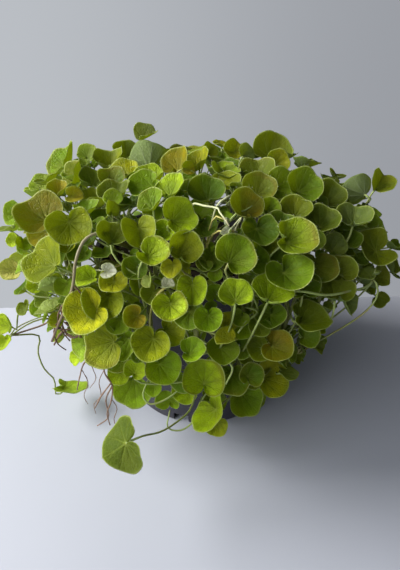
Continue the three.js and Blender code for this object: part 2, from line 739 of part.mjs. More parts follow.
function soilBumps(x, y) {
  const wide = Math.sin(0.11 * x + 1.3) * Math.cos(0.13 * y - 0.4);
  const fine = 0.5 * Math.sin(0.31 * x - 0.27 * y);
  return soilBump * (wide + fine);
}

function soil(roots) {
  const rise = (potTopRadius - potBaseRadius) / potHeight;
  const reach = (z) => potBaseRadius + rise * z - potWall - soilGap;
  const bottom = baseThickness + soilGap;
  const edge = soilTop - 2 * soilBump;
  const profile = [
    [0, bottom],
    [reach(bottom), bottom],
    [reach(edge), edge],
    ...[0.8, 0.42].map((share) => [share * reach(soilTop), soilTop]),
    [0, soilTop],
  ];
  const corners = profile.map(([r, z]) => new THREE.Vector2(r, z));
  const geometry = new THREE.LatheGeometry(corners, soilSides).rotateX(Math.PI / 2);
  const places = geometry.getAttribute("position");
  for (let i = 0; i < places.count; i++) {
    const [x, y, z] = [places.getX(i), places.getY(i), places.getZ(i)];
    if (z > soilTop - soilBump / 2) places.setZ(i, z + soilBumps(x, y));
  }
  let body = solidOf(geometry);
  for (const root of roots) {
    const depth = potHeight - holeFloor;
    const hole = new THREE.CylinderGeometry(stemHole, stemHole, depth, 4);
    hole.rotateX(Math.PI / 2);
    hole.translate(root.x, root.y, holeFloor + depth / 2);
    body = body.subtract(solidOf(hole));
  }
  return body;
}

// Each spray has its name and colour, the line of its stem, where along the line leaves may
// start, its root, the solids of its stem and leaves, and those solids joined
const sprays = [];

function addSpray(name, colour, points, radius, steps, leafy) {
  const line = new THREE.CatmullRomCurve3(points);
  const solid = tube(points, radius, 3, steps);
  const parts = [{ solid, box: boxOf(solid) }];
  const spray = { name, colour, line, steps, leafy, root: points[0], parts, joined: solid };
  sprays.push(spray);
  return spray;
}

function boxOf(solid) {
  const box = solid.boundingBox();
  return new THREE.Box3(new THREE.Vector3(...box.min), new THREE.Vector3(...box.max));
}

function addCrowns() {
  let number = 0;
  for (const ring of crownRings) {
    for (let i = 0; i < ring.count; i++) {
      number += 1;
      const turn = ring.turn + (360 * i) / ring.count;
      const top = crownLevels.map((z, k) => polar(ring.radius * crownSpread[k], turn, z));
      const root = [rootEnd, stemStraight].map((z) => polar(ring.radius, turn, z));
      const points = [...root, ...top];
      const name = "crown_" + String(number).padStart(2, "0");
      addSpray(name, crownColour, points, crownRadius, crownSteps, crownStarts);
    }
  }
}

// A runner's points: up from the soil, over the rim, and down between the pot and the leaves
function overRim(turn, levels, share) {
  const hump = drapeHump.map(([out, z]) => polar(drapeRoot + out, turn, z));
  const down = levels.map((z) => {
    const reach = moundReach(turn, z);
    return polar(potTopRadius + 3 + share * (reach - potTopRadius - 3), turn, z);
  });
  const root = [rootEnd, stemStraight].map((z) => polar(drapeRoot, turn, z));
  return [...root, ...hump, ...down];
}

function addDrapes() {
  drapeTurns.forEach((turn, i) => {
    const points = overRim(turn, drapeLevels, drapeShare);
    const name = "drape_" + String(i + 1).padStart(2, "0");
    addSpray(name, drapeColour, points, runnerRadius, drapeSteps, drapeStarts);
  });
}

function seenPoints(rows) {
  return rows.map((row) => seenAt(...row));
}

function addTwigs(spray, twigs) {
  for (const twig of twigs) {
    const solid = tube(seenPoints(twig), rootRadius, 3, 2 * twig.length - 2);
    spray.parts.push({ solid, box: boxOf(solid) });
    spray.joined = spray.joined.add(solid);
  }
}

// The runners that show on their own: the one that trails to the left, the old brown one
// that hangs at the left with dead wiry twigs, and the one with bare roots at the front left
function addLooseRunners() {
  const left = [...overRim(leftTurn, [], 0), ...seenPoints(leftRoute)];
  addSpray("left_runner", leftColour, left, trailRadius, 10, [0.72, 0.76, 0.96]);
  const woodyRoot = [rootEnd, stemStraight, 92].map((z) => polar(woodyCircle, woodyTurn, z));
  const woody = [...woodyRoot, polar(48, woodyTurn + 8, 113), ...seenPoints(woodyRoute)];
  addTwigs(addSpray("woody_runner", woodyColour, woody, woodyRadius, 14, []), deadTwigs);
  const rooted = [...overRim(rootedTurn, [], 0), ...seenPoints(rootedRoute)];
  addTwigs(addSpray("root_runner", rootColour, rooted, rootedRadius, 9, []), bareRoots);
}

addCrowns();
addDrapes();
addLooseRunners();

const potSolid = pot();
const soilSolid = soil(sprays.map((spray) => spray.root));
const fixed = [potSolid, soilSolid].map((solid) => ({ solid, box: boxOf(solid) }));

// Those of some parts that a test solid meets
function meeting(parts, test) {
  const box = boxOf(test);
  return parts.filter(
    (part) => part.box.intersectsBox(box) && part.solid.intersect(test).volume() > meetingVolume,
  );
}

// The sprays, other than one, whose parts a test solid meets; -1 stands for the pot, the soil
// or the floor
function metBy(test, but) {
  const met = new Set();
  if (boxOf(test).min.z < floorClearance) met.add(-1);
  if (meeting(fixed, test).length) met.add(-1);
  sprays.forEach((spray, i) => {
    if (i !== but && meeting(spray.parts, test).length) met.add(i);
  });
  return met;
}

// Whether a petiole comes back through its own blade
function meetsOwnBlade(bare, line) {
  const outer = Array.from({ length: 5 }, (_, i) => line.getPointAt(i * 0.2));
  return tube(outer, petioleRadius, 3, 4).intersect(bare).volume() > 0;
}

// The point at a share of a stem, on the straight stretch between two of its sections
function chordPoint(spray, share) {
  const before = Math.min(Math.floor(share * spray.steps), spray.steps - 1);
  const start = spray.line.getPointAt(before / spray.steps);
  const end = spray.line.getPointAt((before + 1) / spray.steps);
  return start.lerp(end, share * spray.steps - before);
}

// The stem points that a leaf can start from, nearest first, with low ones preferred
function starts(leaf, via, from) {
  const hub = via.length ? via[0] : bladePoint(leaf, 0, 0);
  const all = sprays.flatMap((spray, i) =>
    (from && spray.name !== from ? [] : spray.leafy).map((share) => {
      const start = chordPoint(spray, share);
      const away = start.distanceTo(hub);
      const high = highCost * Math.max(0, start.z - hub.z + tooHigh);
      const cost = away + high + (away < tooNear ? nearCost : 0);
      return { spray: i, start, cost };
    }),
  );
  return all.sort((a, b) => a.cost - b.cost).slice(0, startTries);
}

// Puts a leaf where it meets as little as it can: first nothing but the stem that it grows
// from, then a leaf of its own spray too, and last any of the one spray that its blade meets
function place(leaf, via = [], from = "") {
  const middle = leaf.frame.middle.clone();
  const away = middle.clone().sub(eye).normalize();
  for (const ease of [0, 1, 2]) {
    for (const lift of lifts) {
      leaf.frame.middle = middle.clone().addScaledVector(away, lift);
      const met = metBy(leafSolid(leaf, null, clearance), -2);
      if (met.has(-1) || met.size > Math.min(ease, 1)) continue;
      for (const { spray, start } of starts(leaf, via, from)) {
        if (met.size && !met.has(spray)) continue;
        const line = petioleLine(leaf, start, via);
        const test = leafSolid(leaf, line, clearance);
        if (metBy(test, spray).size) continue;
        const own = sprays[spray];
        if (ease < 2 && meeting(own.parts.slice(1), test).length > ease) continue;
        if (meetsOwnBlade(leafSolid(leaf, null, 0), line)) continue;
        const solid = leafSolid(leaf, line, 0);
        const joined = own.joined.add(solid);
        if (!isSound(joined)) continue;
        own.parts.push({ solid, box: boxOf(solid) });
        own.joined = joined;
        return;
      }
    }
  }
}

// A leaf from its row, at its real width. A cupped blade's rim stands out from its middle, so
// the leaf is moved across the line of sight until its rim lies round its pixel.
function readLeaf(row, findMiddle) {
  const leaf = Object.fromEntries(leafFields.map((field, i) => [field, row[i]]));
  const middle = findMiddle(leaf.x, leaf.y, leaf.deep);
  const away = middle.clone().sub(eye);
  leaf.wide *= -away.dot(facing) / sizedAt;
  leaf.frame = seenFrame(leaf, middle);
  const move = leaf.frame.face.clone().multiplyScalar(-standOf(leaf));
  leaf.frame.middle = middle.clone().add(move.projectOnPlane(away.normalize()));
  return leaf;
}

for (const { leaf: row, from, via } of looseLeaves) {
  place(readLeaf(row, seenAt), seenPoints(via), from);
}
for (const row of seenLeaves) place(readLeaf(row, onMound));
for (const leaf of hiddenLeaves()) place(leaf);

const plant = new THREE.Group();

function addMesh(name, colour, roughness, solid) {
  const material = new THREE.MeshStandardMaterial({ color: colour, roughness });
  const mesh = new THREE.Mesh(geometryOf(solid), material);
  mesh.name = name;
  plant.add(mesh);
}

addMesh("pot", potColour, 0.6, potSolid);
addMesh("soil", soilColour, 0.95, soilSolid);
for (const spray of sprays) addMesh(spray.name, spray.colour, 0.7, spray.joined);

export default plant;
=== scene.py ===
import json
import math

import bmesh
import bpy
import numpy as np
from mathutils import Vector
from mathutils.bvhtree import BVHTree
from mathutils.kdtree import KDTree
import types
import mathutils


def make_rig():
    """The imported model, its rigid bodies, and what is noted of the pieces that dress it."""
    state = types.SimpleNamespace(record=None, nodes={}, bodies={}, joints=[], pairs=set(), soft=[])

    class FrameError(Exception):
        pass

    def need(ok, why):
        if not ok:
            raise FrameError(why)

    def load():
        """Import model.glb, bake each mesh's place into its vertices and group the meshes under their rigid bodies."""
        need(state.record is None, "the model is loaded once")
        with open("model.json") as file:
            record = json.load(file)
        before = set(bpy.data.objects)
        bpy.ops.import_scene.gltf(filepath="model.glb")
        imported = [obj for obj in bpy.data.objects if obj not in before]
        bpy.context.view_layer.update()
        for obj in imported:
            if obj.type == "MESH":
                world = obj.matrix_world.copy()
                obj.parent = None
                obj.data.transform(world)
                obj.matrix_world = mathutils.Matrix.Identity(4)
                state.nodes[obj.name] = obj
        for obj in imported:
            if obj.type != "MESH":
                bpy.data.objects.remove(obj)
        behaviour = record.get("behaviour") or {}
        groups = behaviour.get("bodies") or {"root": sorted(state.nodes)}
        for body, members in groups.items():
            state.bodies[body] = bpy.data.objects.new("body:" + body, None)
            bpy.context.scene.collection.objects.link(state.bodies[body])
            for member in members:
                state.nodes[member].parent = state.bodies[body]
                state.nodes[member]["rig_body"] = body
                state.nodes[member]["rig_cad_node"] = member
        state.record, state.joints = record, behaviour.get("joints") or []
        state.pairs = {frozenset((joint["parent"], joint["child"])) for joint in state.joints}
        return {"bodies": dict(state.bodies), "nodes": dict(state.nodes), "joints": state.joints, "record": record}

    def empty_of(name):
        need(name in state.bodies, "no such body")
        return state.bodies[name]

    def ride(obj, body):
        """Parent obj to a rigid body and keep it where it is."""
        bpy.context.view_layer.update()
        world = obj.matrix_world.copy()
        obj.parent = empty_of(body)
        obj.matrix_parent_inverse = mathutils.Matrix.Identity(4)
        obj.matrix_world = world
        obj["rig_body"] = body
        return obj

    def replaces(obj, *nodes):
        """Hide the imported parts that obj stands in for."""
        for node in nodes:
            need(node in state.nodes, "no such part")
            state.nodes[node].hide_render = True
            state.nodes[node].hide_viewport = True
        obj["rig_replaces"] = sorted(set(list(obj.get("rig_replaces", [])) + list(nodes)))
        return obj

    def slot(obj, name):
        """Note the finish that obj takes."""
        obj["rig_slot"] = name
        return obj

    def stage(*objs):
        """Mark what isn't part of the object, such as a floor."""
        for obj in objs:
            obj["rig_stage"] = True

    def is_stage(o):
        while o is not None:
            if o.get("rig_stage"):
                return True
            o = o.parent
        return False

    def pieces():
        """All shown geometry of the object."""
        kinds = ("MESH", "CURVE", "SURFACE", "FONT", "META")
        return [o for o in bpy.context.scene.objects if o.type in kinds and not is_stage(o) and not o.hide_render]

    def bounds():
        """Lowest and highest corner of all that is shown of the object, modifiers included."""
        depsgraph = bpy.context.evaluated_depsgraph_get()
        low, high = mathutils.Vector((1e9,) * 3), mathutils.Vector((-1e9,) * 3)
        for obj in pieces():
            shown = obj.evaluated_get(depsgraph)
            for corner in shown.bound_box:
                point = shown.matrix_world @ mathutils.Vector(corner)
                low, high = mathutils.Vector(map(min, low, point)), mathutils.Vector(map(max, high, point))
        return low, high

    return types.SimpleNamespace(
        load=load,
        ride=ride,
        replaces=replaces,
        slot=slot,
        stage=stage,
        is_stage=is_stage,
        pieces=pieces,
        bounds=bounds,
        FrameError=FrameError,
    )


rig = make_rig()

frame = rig.load()
cadLow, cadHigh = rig.bounds()
print("frame loaded:", len(frame["nodes"]), "nodes")

# Lengths are in millimetres until a piece is made, then in metres.
metre = 0.001

# The photograph's view: where the camera stood, how far it looked down, its focal length and
# middle in pixels, and how far away leaves are sized
view = dict(eye=(-1, -218, 194), lookDown=30, focalPixels=411, middle=(200, 285), longSide=570,
            sizedAt=196)

# The mound of leaves: half its width and depth at its widest level, and how it is rounded off
mound = dict(wide=112, deep=88, back=4, level=80, top=144, skirtLevel=38, skirtShare=0.57, skirtLeast=68)

pot = dict(height=97.5, baseRadius=47, topRadius=59.2, wall=1.5, collarHeight=12.5, collarStep=1.3,
           floor=2, sides=120, slots=6, slotTurn=15, slotSize=(10, 9, 6.4))


def linked(name, data):
    made = bpy.data.objects.new(name, data)
    bpy.context.scene.collection.objects.link(made)
    return made


def seeded(seed):
    state = seed
    word = 0xFFFFFFFF  # keeps the sums within 32 bits

    def draw():
        nonlocal state
        state = (state + 0x6D2B79F5) & word
        t = ((state ^ (state >> 15)) * (1 | state)) & word
        t = ((t + (((t ^ (t >> 7)) * (61 | t)) & word)) & word) ^ t
        return (t & word ^ (t & word) >> 14) / 4294967296

    return draw


def shareOf(value, low, high):
    return min(max((value - low) / (high - low), 0), 1)


def unit(v):
    return v / np.linalg.norm(v)


def polar(radius, degrees, z):
    turn = math.radians(degrees)
    return np.array([radius * math.cos(turn), radius * math.sin(turn), z])


lookDown = math.radians(view["lookDown"])
eye = np.array(view["eye"], float)
right = np.array([1.0, 0, 0])
upward = np.array([0, math.sin(lookDown), math.cos(lookDown)])
facing = np.array([0, -math.cos(lookDown), math.sin(lookDown)])


def moundShare(z):
    if z >= mound["level"]:
        rise = shareOf(z, mound["level"], mound["top"])
        return (1 - rise * rise) ** 0.25
    drop = shareOf(z, mound["skirtLevel"], mound["level"])
    return mound["skirtShare"] + (1 - mound["skirtShare"]) * math.sqrt(drop)


# Below 0 inside the mound, above 0 outside it
def moundSide(x, y, z):
    share = moundShare(z)
    wide, deep = mound["wide"], mound["deep"]
    if z < mound["level"]:
        wide, deep = max(wide * share, mound["skirtLeast"]), max(deep * share, mound["skirtLeast"])
    out = math.hypot(x / wide, (y - mound["back"] * share) / deep)
    if z < mound["level"]:
        return out - 1
    rise = (z - mound["level"]) / (mound["top"] - mound["level"])
    return out**4 + rise * rise - 1


# The steps in which a way out from the axis, or along a line of sight, is tried
walk = dict(step=0.5, start=80, count=640)


def moundReach(degrees, z):
    reach = 0
    while moundSide(*polar(reach, degrees, z)) < 0:
        reach += walk["step"]
    return reach


def sight(x, y):
    middleX, middleY = view["middle"]
    return unit(-view["focalPixels"] * facing + (x - middleX) * right + (middleY - y) * upward)


# Where a line of sight meets the mound, or comes nearest to it, and so much deeper
def onMound(x, y, deep):
    line = sight(x, y)
    best, at = math.inf, 0
    for k in range(walk["count"]):
        along = walk["start"] + k * walk["step"]
        side = moundSide(*(eye + line * along))
        if side < best:
            best, at = side, along
        if side < 0:
            break
    return eye + line * (at + deep)


def seenAt(x, y, depth):
    line = sight(x, y)
    return eye + line * ((depth - eye[1]) / line[1])


def seenPoints(rows):
    return [seenAt(*row) for row in rows]


def pixelOf(point):
    away = point - eye
    scale = -view["focalPixels"] / np.dot(away, facing)
    middleX, middleY = view["middle"]
    return middleX + scale * np.dot(away, right), middleY - scale * np.dot(away, upward)


# A smooth line through points, or a Bezier line, with even steps along its length
class Line:
    def __init__(self, points, bezier=False):
        self.points = np.array(points, float)
        self.bezier = bezier
        t = np.linspace(0, 1, 201)
        away = np.linalg.norm(np.diff(self.at(t), axis=0), axis=1)
        self.t, self.along = t, np.concatenate([[0], np.cumsum(away)])
        self.length = self.along[-1]

    def at(self, t):
        t = np.atleast_1d(t)
        p = self.points
        if self.bezier:
            s = 1 - t[:, None]
            t = t[:, None]
            return s**3 * p[0] + 3 * s * s * t * p[1] + 3 * s * t * t * p[2] + t**3 * p[3]
        spans = len(p) - 1
        padded = np.vstack([2 * p[0] - p[1], p, 2 * p[-1] - p[-2]])
        made = []
        for value in t * spans:
            k = min(int(value), spans - 1)
            made.append(self.span(padded[k : k + 4], value - k))
        return np.array(made)

    def span(self, p, w):
        d = [max(np.linalg.norm(p[i + 1] - p[i]), 1e-8) ** 0.5 for i in range(3)]
        if d[1] < 1e-4:
            d[1] = 1.0
        d[0] = d[1] if d[0] < 1e-4 else d[0]
        d[2] = d[1] if d[2] < 1e-4 else d[2]
        start = ((p[1] - p[0]) / d[0] - (p[2] - p[0]) / (d[0] + d[1]) + (p[2] - p[1]) / d[1]) * d[1]
        end = ((p[2] - p[1]) / d[1] - (p[3] - p[1]) / (d[1] + d[2]) + (p[3] - p[2]) / d[2]) * d[1]
        a = p[1]
        c = -3 * p[1] + 3 * p[2] - 2 * start - end
        e = 2 * p[1] - 2 * p[2] + start + end
        return a + start * w + c * w * w + e * w**3

    def even(self, shares):
        return self.at(np.interp(np.atleast_1d(shares) * self.length, self.along, self.t))


leafShape = dict(thickness=0.72, reach=0.57, middle=0.15, kidney=0.6, cup=0.21, cupPower=1.8, lobe=0.09,
                 wave=0.035, sideLean=13, upLean=8, rimPlaces=(-150, -90, -30, 30, 90, 150), petioleStep=36,
                 lifts=(0, -1, 1, -2, 2, -3, 3, -4, 4, -5, 5, -6, 6, -8, 8),
                 rims=((21.5, (42, 84, 120, 154)), (12.5, (52, 104, 150)), (0, (68, 145))))
# How a blade is folded along its midrib, in degrees, and how deep it is cupped, how high its two
# lobes stand and how much it is waved
forms = dict(cup=(13, 1.3, 1.6, 0.9), shallow=(12, 1, 1, 0.9), funnel=(18, 2.1, 2, 0.6),
             folded=(36, 0.6, 0.4, 0.8), wavy=(10, 1, 2, 2.2), flat=(6, 0.6, 0.8, 1),
             drooped=(-20, 0.2, 0, 0.8), curled=(24, 2.4, 2.4, 4))


def frameOf(middle, face, tipHint):
    tip = unit(tipHint - face * np.dot(tipHint, face))
    return dict(middle=middle, face=face, tip=tip, side=np.cross(face, tip))


# A cupped blade's rim stands out from its middle, so the leaf is moved across the line of sight
# until its rim lies round its pixel
def seenLeaf(row, middle):
    x, y, wide, up, side, notch, form, deep, tint = row
    up += leafShape["upLean"] * math.sin(2.3 * x + 1.7 * y)
    side += leafShape["sideLean"] * math.sin(3.7 * x + 5.1 * y)
    up, side, notch = [math.radians(angle) for angle in (up, side, notch)]
    face = (facing * math.cos(up) + upward * math.sin(up)) * math.cos(side) + right * math.sin(side)
    away = -upward * math.cos(notch) - right * math.sin(notch)
    wide *= np.dot(eye - middle, facing) / view["sizedAt"]
    leaf = dict(frameOf(middle, face, away), wide=wide, form=form, tint=tint)
    line = unit(middle - eye)
    leaf["middle"] = middle - standOf(leaf) * (face - line * np.dot(face, line))
    return leaf


# The rest of the mound: rings of leaves by level, and over the top by their share of its width,
# how far they stray from even places, and how a leaf there turns, tips and differs in width
hidden = dict(
    seed=11, bareOut=62, bareBelow=70, lowRight=dict(above=105, out=35, over=20, drop=11),
    rings=((34, 15, 165, 4, 19.5), (50, -2, 182, 8, 19.5), (66, -6, 186, 11, 19.5), (82, -4, 184, 12, 19.5),
           (98, 0, 180, 11, 19.5), (114, 5, 175, 10, 19.5), (129, 12, 168, 6, 18)),
    topRings=((0.12, 0, 360, 3, 19.5), (0.36, -10, 350, 10, 19.5), (0.6, -15, 195, 10, 19.5),
              (0.6, 205, 335, 5, 17), (0.8, -5, 185, 11, 18)),
    along=0.7, height=10, depth=3, out=0.08, topDepth=5,
    low=50, high=140, flatten=0.8, least=0.35, turn=50, tipTurn=150, tipLow=-0.8, tipMore=0.6,
    narrow=0.8, widen=0.4, forms=("cup", "cup", "wavy", "funnel", "cup"),
    tints=("fresh", "deep", "fresh", "bright", "deepOlive", "olive", "fresh", "gold", "deep"),
)


def outerLeaf(middle, degrees, wide, draw):
    rise = shareOf(middle[2], hidden["low"], hidden["high"])
    faceTurn = degrees + hidden["turn"] * (draw() - 0.5)
    face = unit(polar(1 - hidden["flatten"] * rise, faceTurn, hidden["least"] + rise))
    tipTurn = degrees + hidden["tipTurn"] * (draw() - 0.5)
    tip = polar(1, tipTurn, hidden["tipLow"] + hidden["tipMore"] * draw())
    form = hidden["forms"][int(len(hidden["forms"]) * draw())]
    wide *= hidden["narrow"] + hidden["widen"] * draw()
    leaf = dict(frameOf(middle, face, tip), wide=wide, form=form)
    leaf["middle"] = middle - face * standOf(leaf)
    return leaf


# A hidden leaf's place, lowered where the mound's top is lower
def lowered(middle):
    low = hidden["lowRight"]
    if middle[2] > low["above"]:
        middle[2] -= low["drop"] * shareOf(middle[0], low["out"], low["out"] + low["over"])
    return middle


def ringTurn(start, end, i, count, draw):
    return start + (end - start) * (i + 0.5 + hidden["along"] * (draw() - 0.5)) / count


def hiddenLeaves():
    draw = seeded(hidden["seed"])
    leaves = []
    for level, start, end, count, wide in hidden["rings"]:
        for i in range(count):
            turn = ringTurn(start, end, i, count, draw)
            z = level + hidden["height"] * (draw() - 0.5)
            middle = polar(moundReach(turn, z) - hidden["depth"] * draw(), turn, z)
            leaves.append(outerLeaf(lowered(middle), turn, wide, draw))
    for share, start, end, count, wide in hidden["topRings"]:
        for i in range(count):
            turn = ringTurn(start, end, i, count, draw)
            out = share + hidden["out"] * (draw() - 0.5)
            z = mound["level"] + (mound["top"] - mound["level"]) * math.sqrt(1 - out**4)
            reach = moundReach(turn, mound["level"]) * out
            middle = polar(reach, turn, z - hidden["topDepth"] * draw())
            leaves.append(outerLeaf(lowered(middle), turn, wide, draw))
    for i, leaf in enumerate(leaves):
        leaf["tint"] = hidden["tints"][(5 * i + i // 4) % len(hidden["tints"])]
    bareOut, bareBelow = hidden["bareOut"], hidden["bareBelow"]
    return [leaf for leaf in leaves if leaf["middle"][0] < bareOut or leaf["middle"][2] > bareBelow]


# Points of the blade at turns from its tip, in degrees, and shares of the way out from its hub
def bladePoints(leaf, turns, shares):
    fold, cup, lobes, wave = forms[leaf["form"]]
    wide = leaf["wide"]
    turn = np.radians(np.atleast_1d(turns))[None, :]
    share = np.atleast_1d(shares)[:, None]
    out = leafShape["reach"] * np.maximum(np.cos(turn / 2), 0) ** leafShape["kidney"] * share * wide
    across = out * np.sin(turn)
    lift = leafShape["cup"] * cup * wide * (out / (leafShape["reach"] * wide)) ** leafShape["cupPower"]
    lift = lift + leafShape["lobe"] * lobes * wide * share * share * np.maximum(0, -np.cos(turn))
    lift = lift + leafShape["wave"] * wave * wide * share * share * np.sin(3 * turn + wide * 7)
    lift = lift + np.abs(across) * math.sin(math.radians(fold))
    ahead = out * np.cos(turn) - leafShape["middle"] * wide
    sideways = across * math.cos(math.radians(fold))
    return (
        leaf["middle"]
        + ahead[..., None] * leaf["tip"]
        + sideways[..., None] * leaf["side"]
        + lift[..., None] * leaf["face"]
    )


def hubOf(leaf):
    return bladePoints(leaf, 0, 0)[0, 0]


# How far a blade's rim stands out from its middle along its face
def standOf(leaf):
    return (bladePoints(leaf, leafShape["rimPlaces"], 1)[0] - leaf["middle"]).dot(leaf["face"]).mean()


# How a petiole leaves its stem and comes to the back of its blade
bend = dict(behind=0.7, neck=0.25, ahead=0.5, outward=0.25, up=0.45, first=0.35, last=0.3)


def petioleLine(leaf, start, via):
    hub = hubOf(leaf)
    length = np.linalg.norm(start - hub)
    arrive = unit(-bend["behind"] * (leaf["face"] + leaf["tip"]))
    if len(via):
        return Line([start, *via, hub + arrive * bend["neck"] * leaf["wide"], hub])
    outward = unit(np.array([start[0], start[1], 0]))
    leave = unit(hub - start) * bend["ahead"] + outward * bend["outward"]
    leave = unit(leave + np.array([0, 0, bend["up"]]))
    first, last = start + leave * bend["first"] * length, hub + arrive * bend["last"] * length
    return Line([start, first, last, hub], bezier=True)


# How each stem runs: rings of crowns in the pot, runners over its rim, and the loose ones.
# starts are the shares of a stem where its leaves may grow.
crown = dict(rings=((1, 5, 40), (4, 21, 8), (7, 39, 14)), root=70, straight=84, levels=(92, 104, 116),
             spread=(1, 1.12, 1.5), steps=4, starts=(0.5, 0.64, 0.78, 0.9), radius=1.15)
drape = dict(turns=(350, 12, 36, 60, 84, 108, 132, 156, 180, 221, 251, 268, 285, 302, 319, 335),
             root=50.5, hump=((0, 91), (5, 100.5), (13, 104.5)), levels=(95, 82, 69, 56, 45), share=0.36,
             steps=9, starts=(0.4, 0.5, 0.6, 0.7, 0.8, 0.9, 0.97), radius=1.05)
leftRunner = dict(turn=201, steps=10, starts=(0.72, 0.76, 0.96), radius=0.62,
                  route=((62, 300, -28), (48, 322, -26), (25, 331, -31), (1, 338, -36)))
woodyRunner = dict(
    turn=212, circle=30, over=(48, 220, 113), radius=0.68,
    route=((107, 233, -62), (94, 234, -66), (84, 241, -69), (76, 260, -73),
           (73, 285, -76), (67, 305, -76), (59, 323, -72), (52, 341, -67)),
    twigs=(
        ((72.2, 288, -76), (79, 300, -72), (80, 316, -69), (74, 330, -67), (66, 322, -65)),
        ((69.4, 297, -76), (62, 312, -68), (64, 330, -64), (72, 338, -66), (81, 332, -69)),
        ((65.7, 308, -75.4), (76, 313, -68), (73, 326, -63), (61, 333, -62), (54, 345, -62)),
        ((61.7, 317, -73.4), (70, 318, -73), (78, 324, -72), (80, 338, -69)),
    ),
    wires=(
        ((71, 292, -76), (64, 303, -74), (58, 316, -71), (61, 330, -68), (70, 341, -68)),
        ((74, 286, -76), (80, 292, -76), (82, 306, -74), (78, 322, -72), (84, 333, -70)),
        ((66, 306, -75), (74, 318, -72), (80, 324, -71), (76, 338, -69), (68, 334, -68)),
        ((60, 320, -71), (54, 330, -68), (58, 344, -66), (66, 350, -65)),
        ((64, 322, -73), (72, 327, -72), (79, 318, -72), (74, 312, -73), (65, 316, -73)),
        ((58, 328, -70), (66, 330, -70), (76, 328, -70), (82, 338, -68)),
    ),
)
rootRunner = dict(
    turn=236, radius=0.7,
    route=((112, 300, -62), (104, 335, -64), (103, 365, -62)),
    roots=(
        ((103, 362, -62), (105, 374, -63), (112, 385, -65), (111, 402, -67), (107, 413, -68),
         (110, 425, -69)),
        ((111, 383, -65), (102, 395, -66), (95, 408, -67)),
        ((112, 386, -65), (106, 400, -62), (108, 418, -62), (97, 426, -64)),
        ((103, 350, -63), (85, 362, -60), (80, 376, -58), (77, 390, -57)),
    ),
    threads=(
        ((104, 370, -62), (99, 382, -62), (101, 396, -63), (94, 404, -63), (96, 414, -63)),
        ((111, 398, -66), (117, 408, -67), (114, 420, -67), (118, 430, -68)),
        ((82, 370, -58), (88, 382, -59), (84, 396, -58), (88, 404, -58)),
        ((103, 345, -63), (94, 352, -62), (92, 366, -60), (96, 378, -60), (90, 388, -59)),
    ),
)


# A runner's way out of the soil, over the rim and down inside the mound
def overRim(turn, levels):
    hump = [polar(drape["root"] + out, turn, z) for out, z in drape["hump"]]
    rest = pot["topRadius"] + 3
    down = [polar(rest + drape["share"] * (moundReach(turn, z) - rest), turn, z) for z in levels]
    return [polar(drape["root"], turn, z) for z in (crown["root"], crown["straight"])] + hump + down


# The sprays: each has its name, the line of its stem, where leaves may start on it, and its
# leaves, twigs and tint
def makeSprays():
    sprays = {}

    def add(name, points, radius, steps, starts, tint):
        sprays[name] = dict(name=name, line=Line(points), radius=radius, steps=steps, starts=starts,
                            tint=tint, leaves=[], twigs=[])

    number = 0
    for count, radius, first in crown["rings"]:
        for i in range(count):
            number += 1
            turn = first + 360 * i / count
            points = [polar(radius, turn, z) for z in (crown["root"], crown["straight"])]
            points += [polar(radius * out, turn, z) for z, out in zip(crown["levels"], crown["spread"])]
            add(f"crown_{number:02d}", points, crown["radius"], crown["steps"], crown["starts"], "stem")
    for i, turn in enumerate(drape["turns"]):
        points = overRim(turn, drape["levels"])
        add(f"drape_{i + 1:02d}", points, drape["radius"], drape["steps"], drape["starts"], "stem")
    left = overRim(leftRunner["turn"], ()) + seenPoints(leftRunner["route"])
    add("left_runner", left, leftRunner["radius"], leftRunner["steps"], leftRunner["starts"], "root")
    circle, turn = woodyRunner["circle"], woodyRunner["turn"]
    woody = [polar(circle, turn, z) for z in (crown["root"], crown["straight"], crown["levels"][0])]
    woody.append(polar(*woodyRunner["over"]))
    add("woody_runner", woody + seenPoints(woodyRunner["route"]), woodyRunner["radius"], 14, (), "wiry")
    rooted = overRim(rootRunner["turn"], ()) + seenPoints(rootRunner["route"])
    add("root_runner", rooted, rootRunner["radius"], 9, (), "root")
    return sprays


sprays = makeSprays()
print("stems laid out:", len(sprays))


def chordPoint(spray, share):
    steps = spray["steps"]
    before = min(int(share * steps), steps - 1)
    start, end = spray["line"].even([before / steps, (before + 1) / steps])
    return start + (end - start) * (share * steps - before)


for spray in sprays.values():
    spray["startPoints"] = [chordPoint(spray, share) for share in spray["starts"]]


# The stem points that a leaf can grow from, nearest first, with low ones preferred and points
# right beside the leaf put off
growth = dict(high=0.6, below=6, near=9, nearCost=20)


def startsFor(hub, names):
    found = []
    for name in names:
        for start in sprays[name]["startPoints"]:
            away = np.linalg.norm(start - hub)
            cost = away + growth["high"] * max(0, start[2] - hub[2] + growth["below"])
            cost += growth["nearCost"] if away < growth["near"] else 0
            found.append((cost, name, start))
    return sorted(found, key=lambda entry: entry[0])


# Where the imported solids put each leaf: the corners of its rim say how far it was moved along
# the line of sight and in which spray it grows, and the spray's surface follows its petiole
def cornersOf(name):
    return np.array([v.co for v in frame["nodes"][name].data.vertices]) / metre


corners = {name: np.unique(np.round(cornersOf(name), 3), axis=0) for name in sprays}
cornerTree = KDTree(sum(len(found) for found in corners.values()))
cornerOwner = []
for name, found in corners.items():
    for corner in found:
        cornerTree.insert(Vector(corner), len(cornerOwner))
        cornerOwner.append(name)
cornerTree.balance()
surfaces = {}
for name in sprays:
    mesh = frame["nodes"][name].data
    surfaces[name] = BVHTree.FromPolygons(
        [v.co / metre for v in mesh.vertices], [tuple(p.vertices) for p in mesh.polygons]
    )


# How near a rim corner must lie to one of the solids, how many must do so at least, and how many
# starts and which shares of each petiole are then tried
matching = dict(near=0.02, corners=3, starts=12, tested=(0.08, 0.97, 14), most=9)


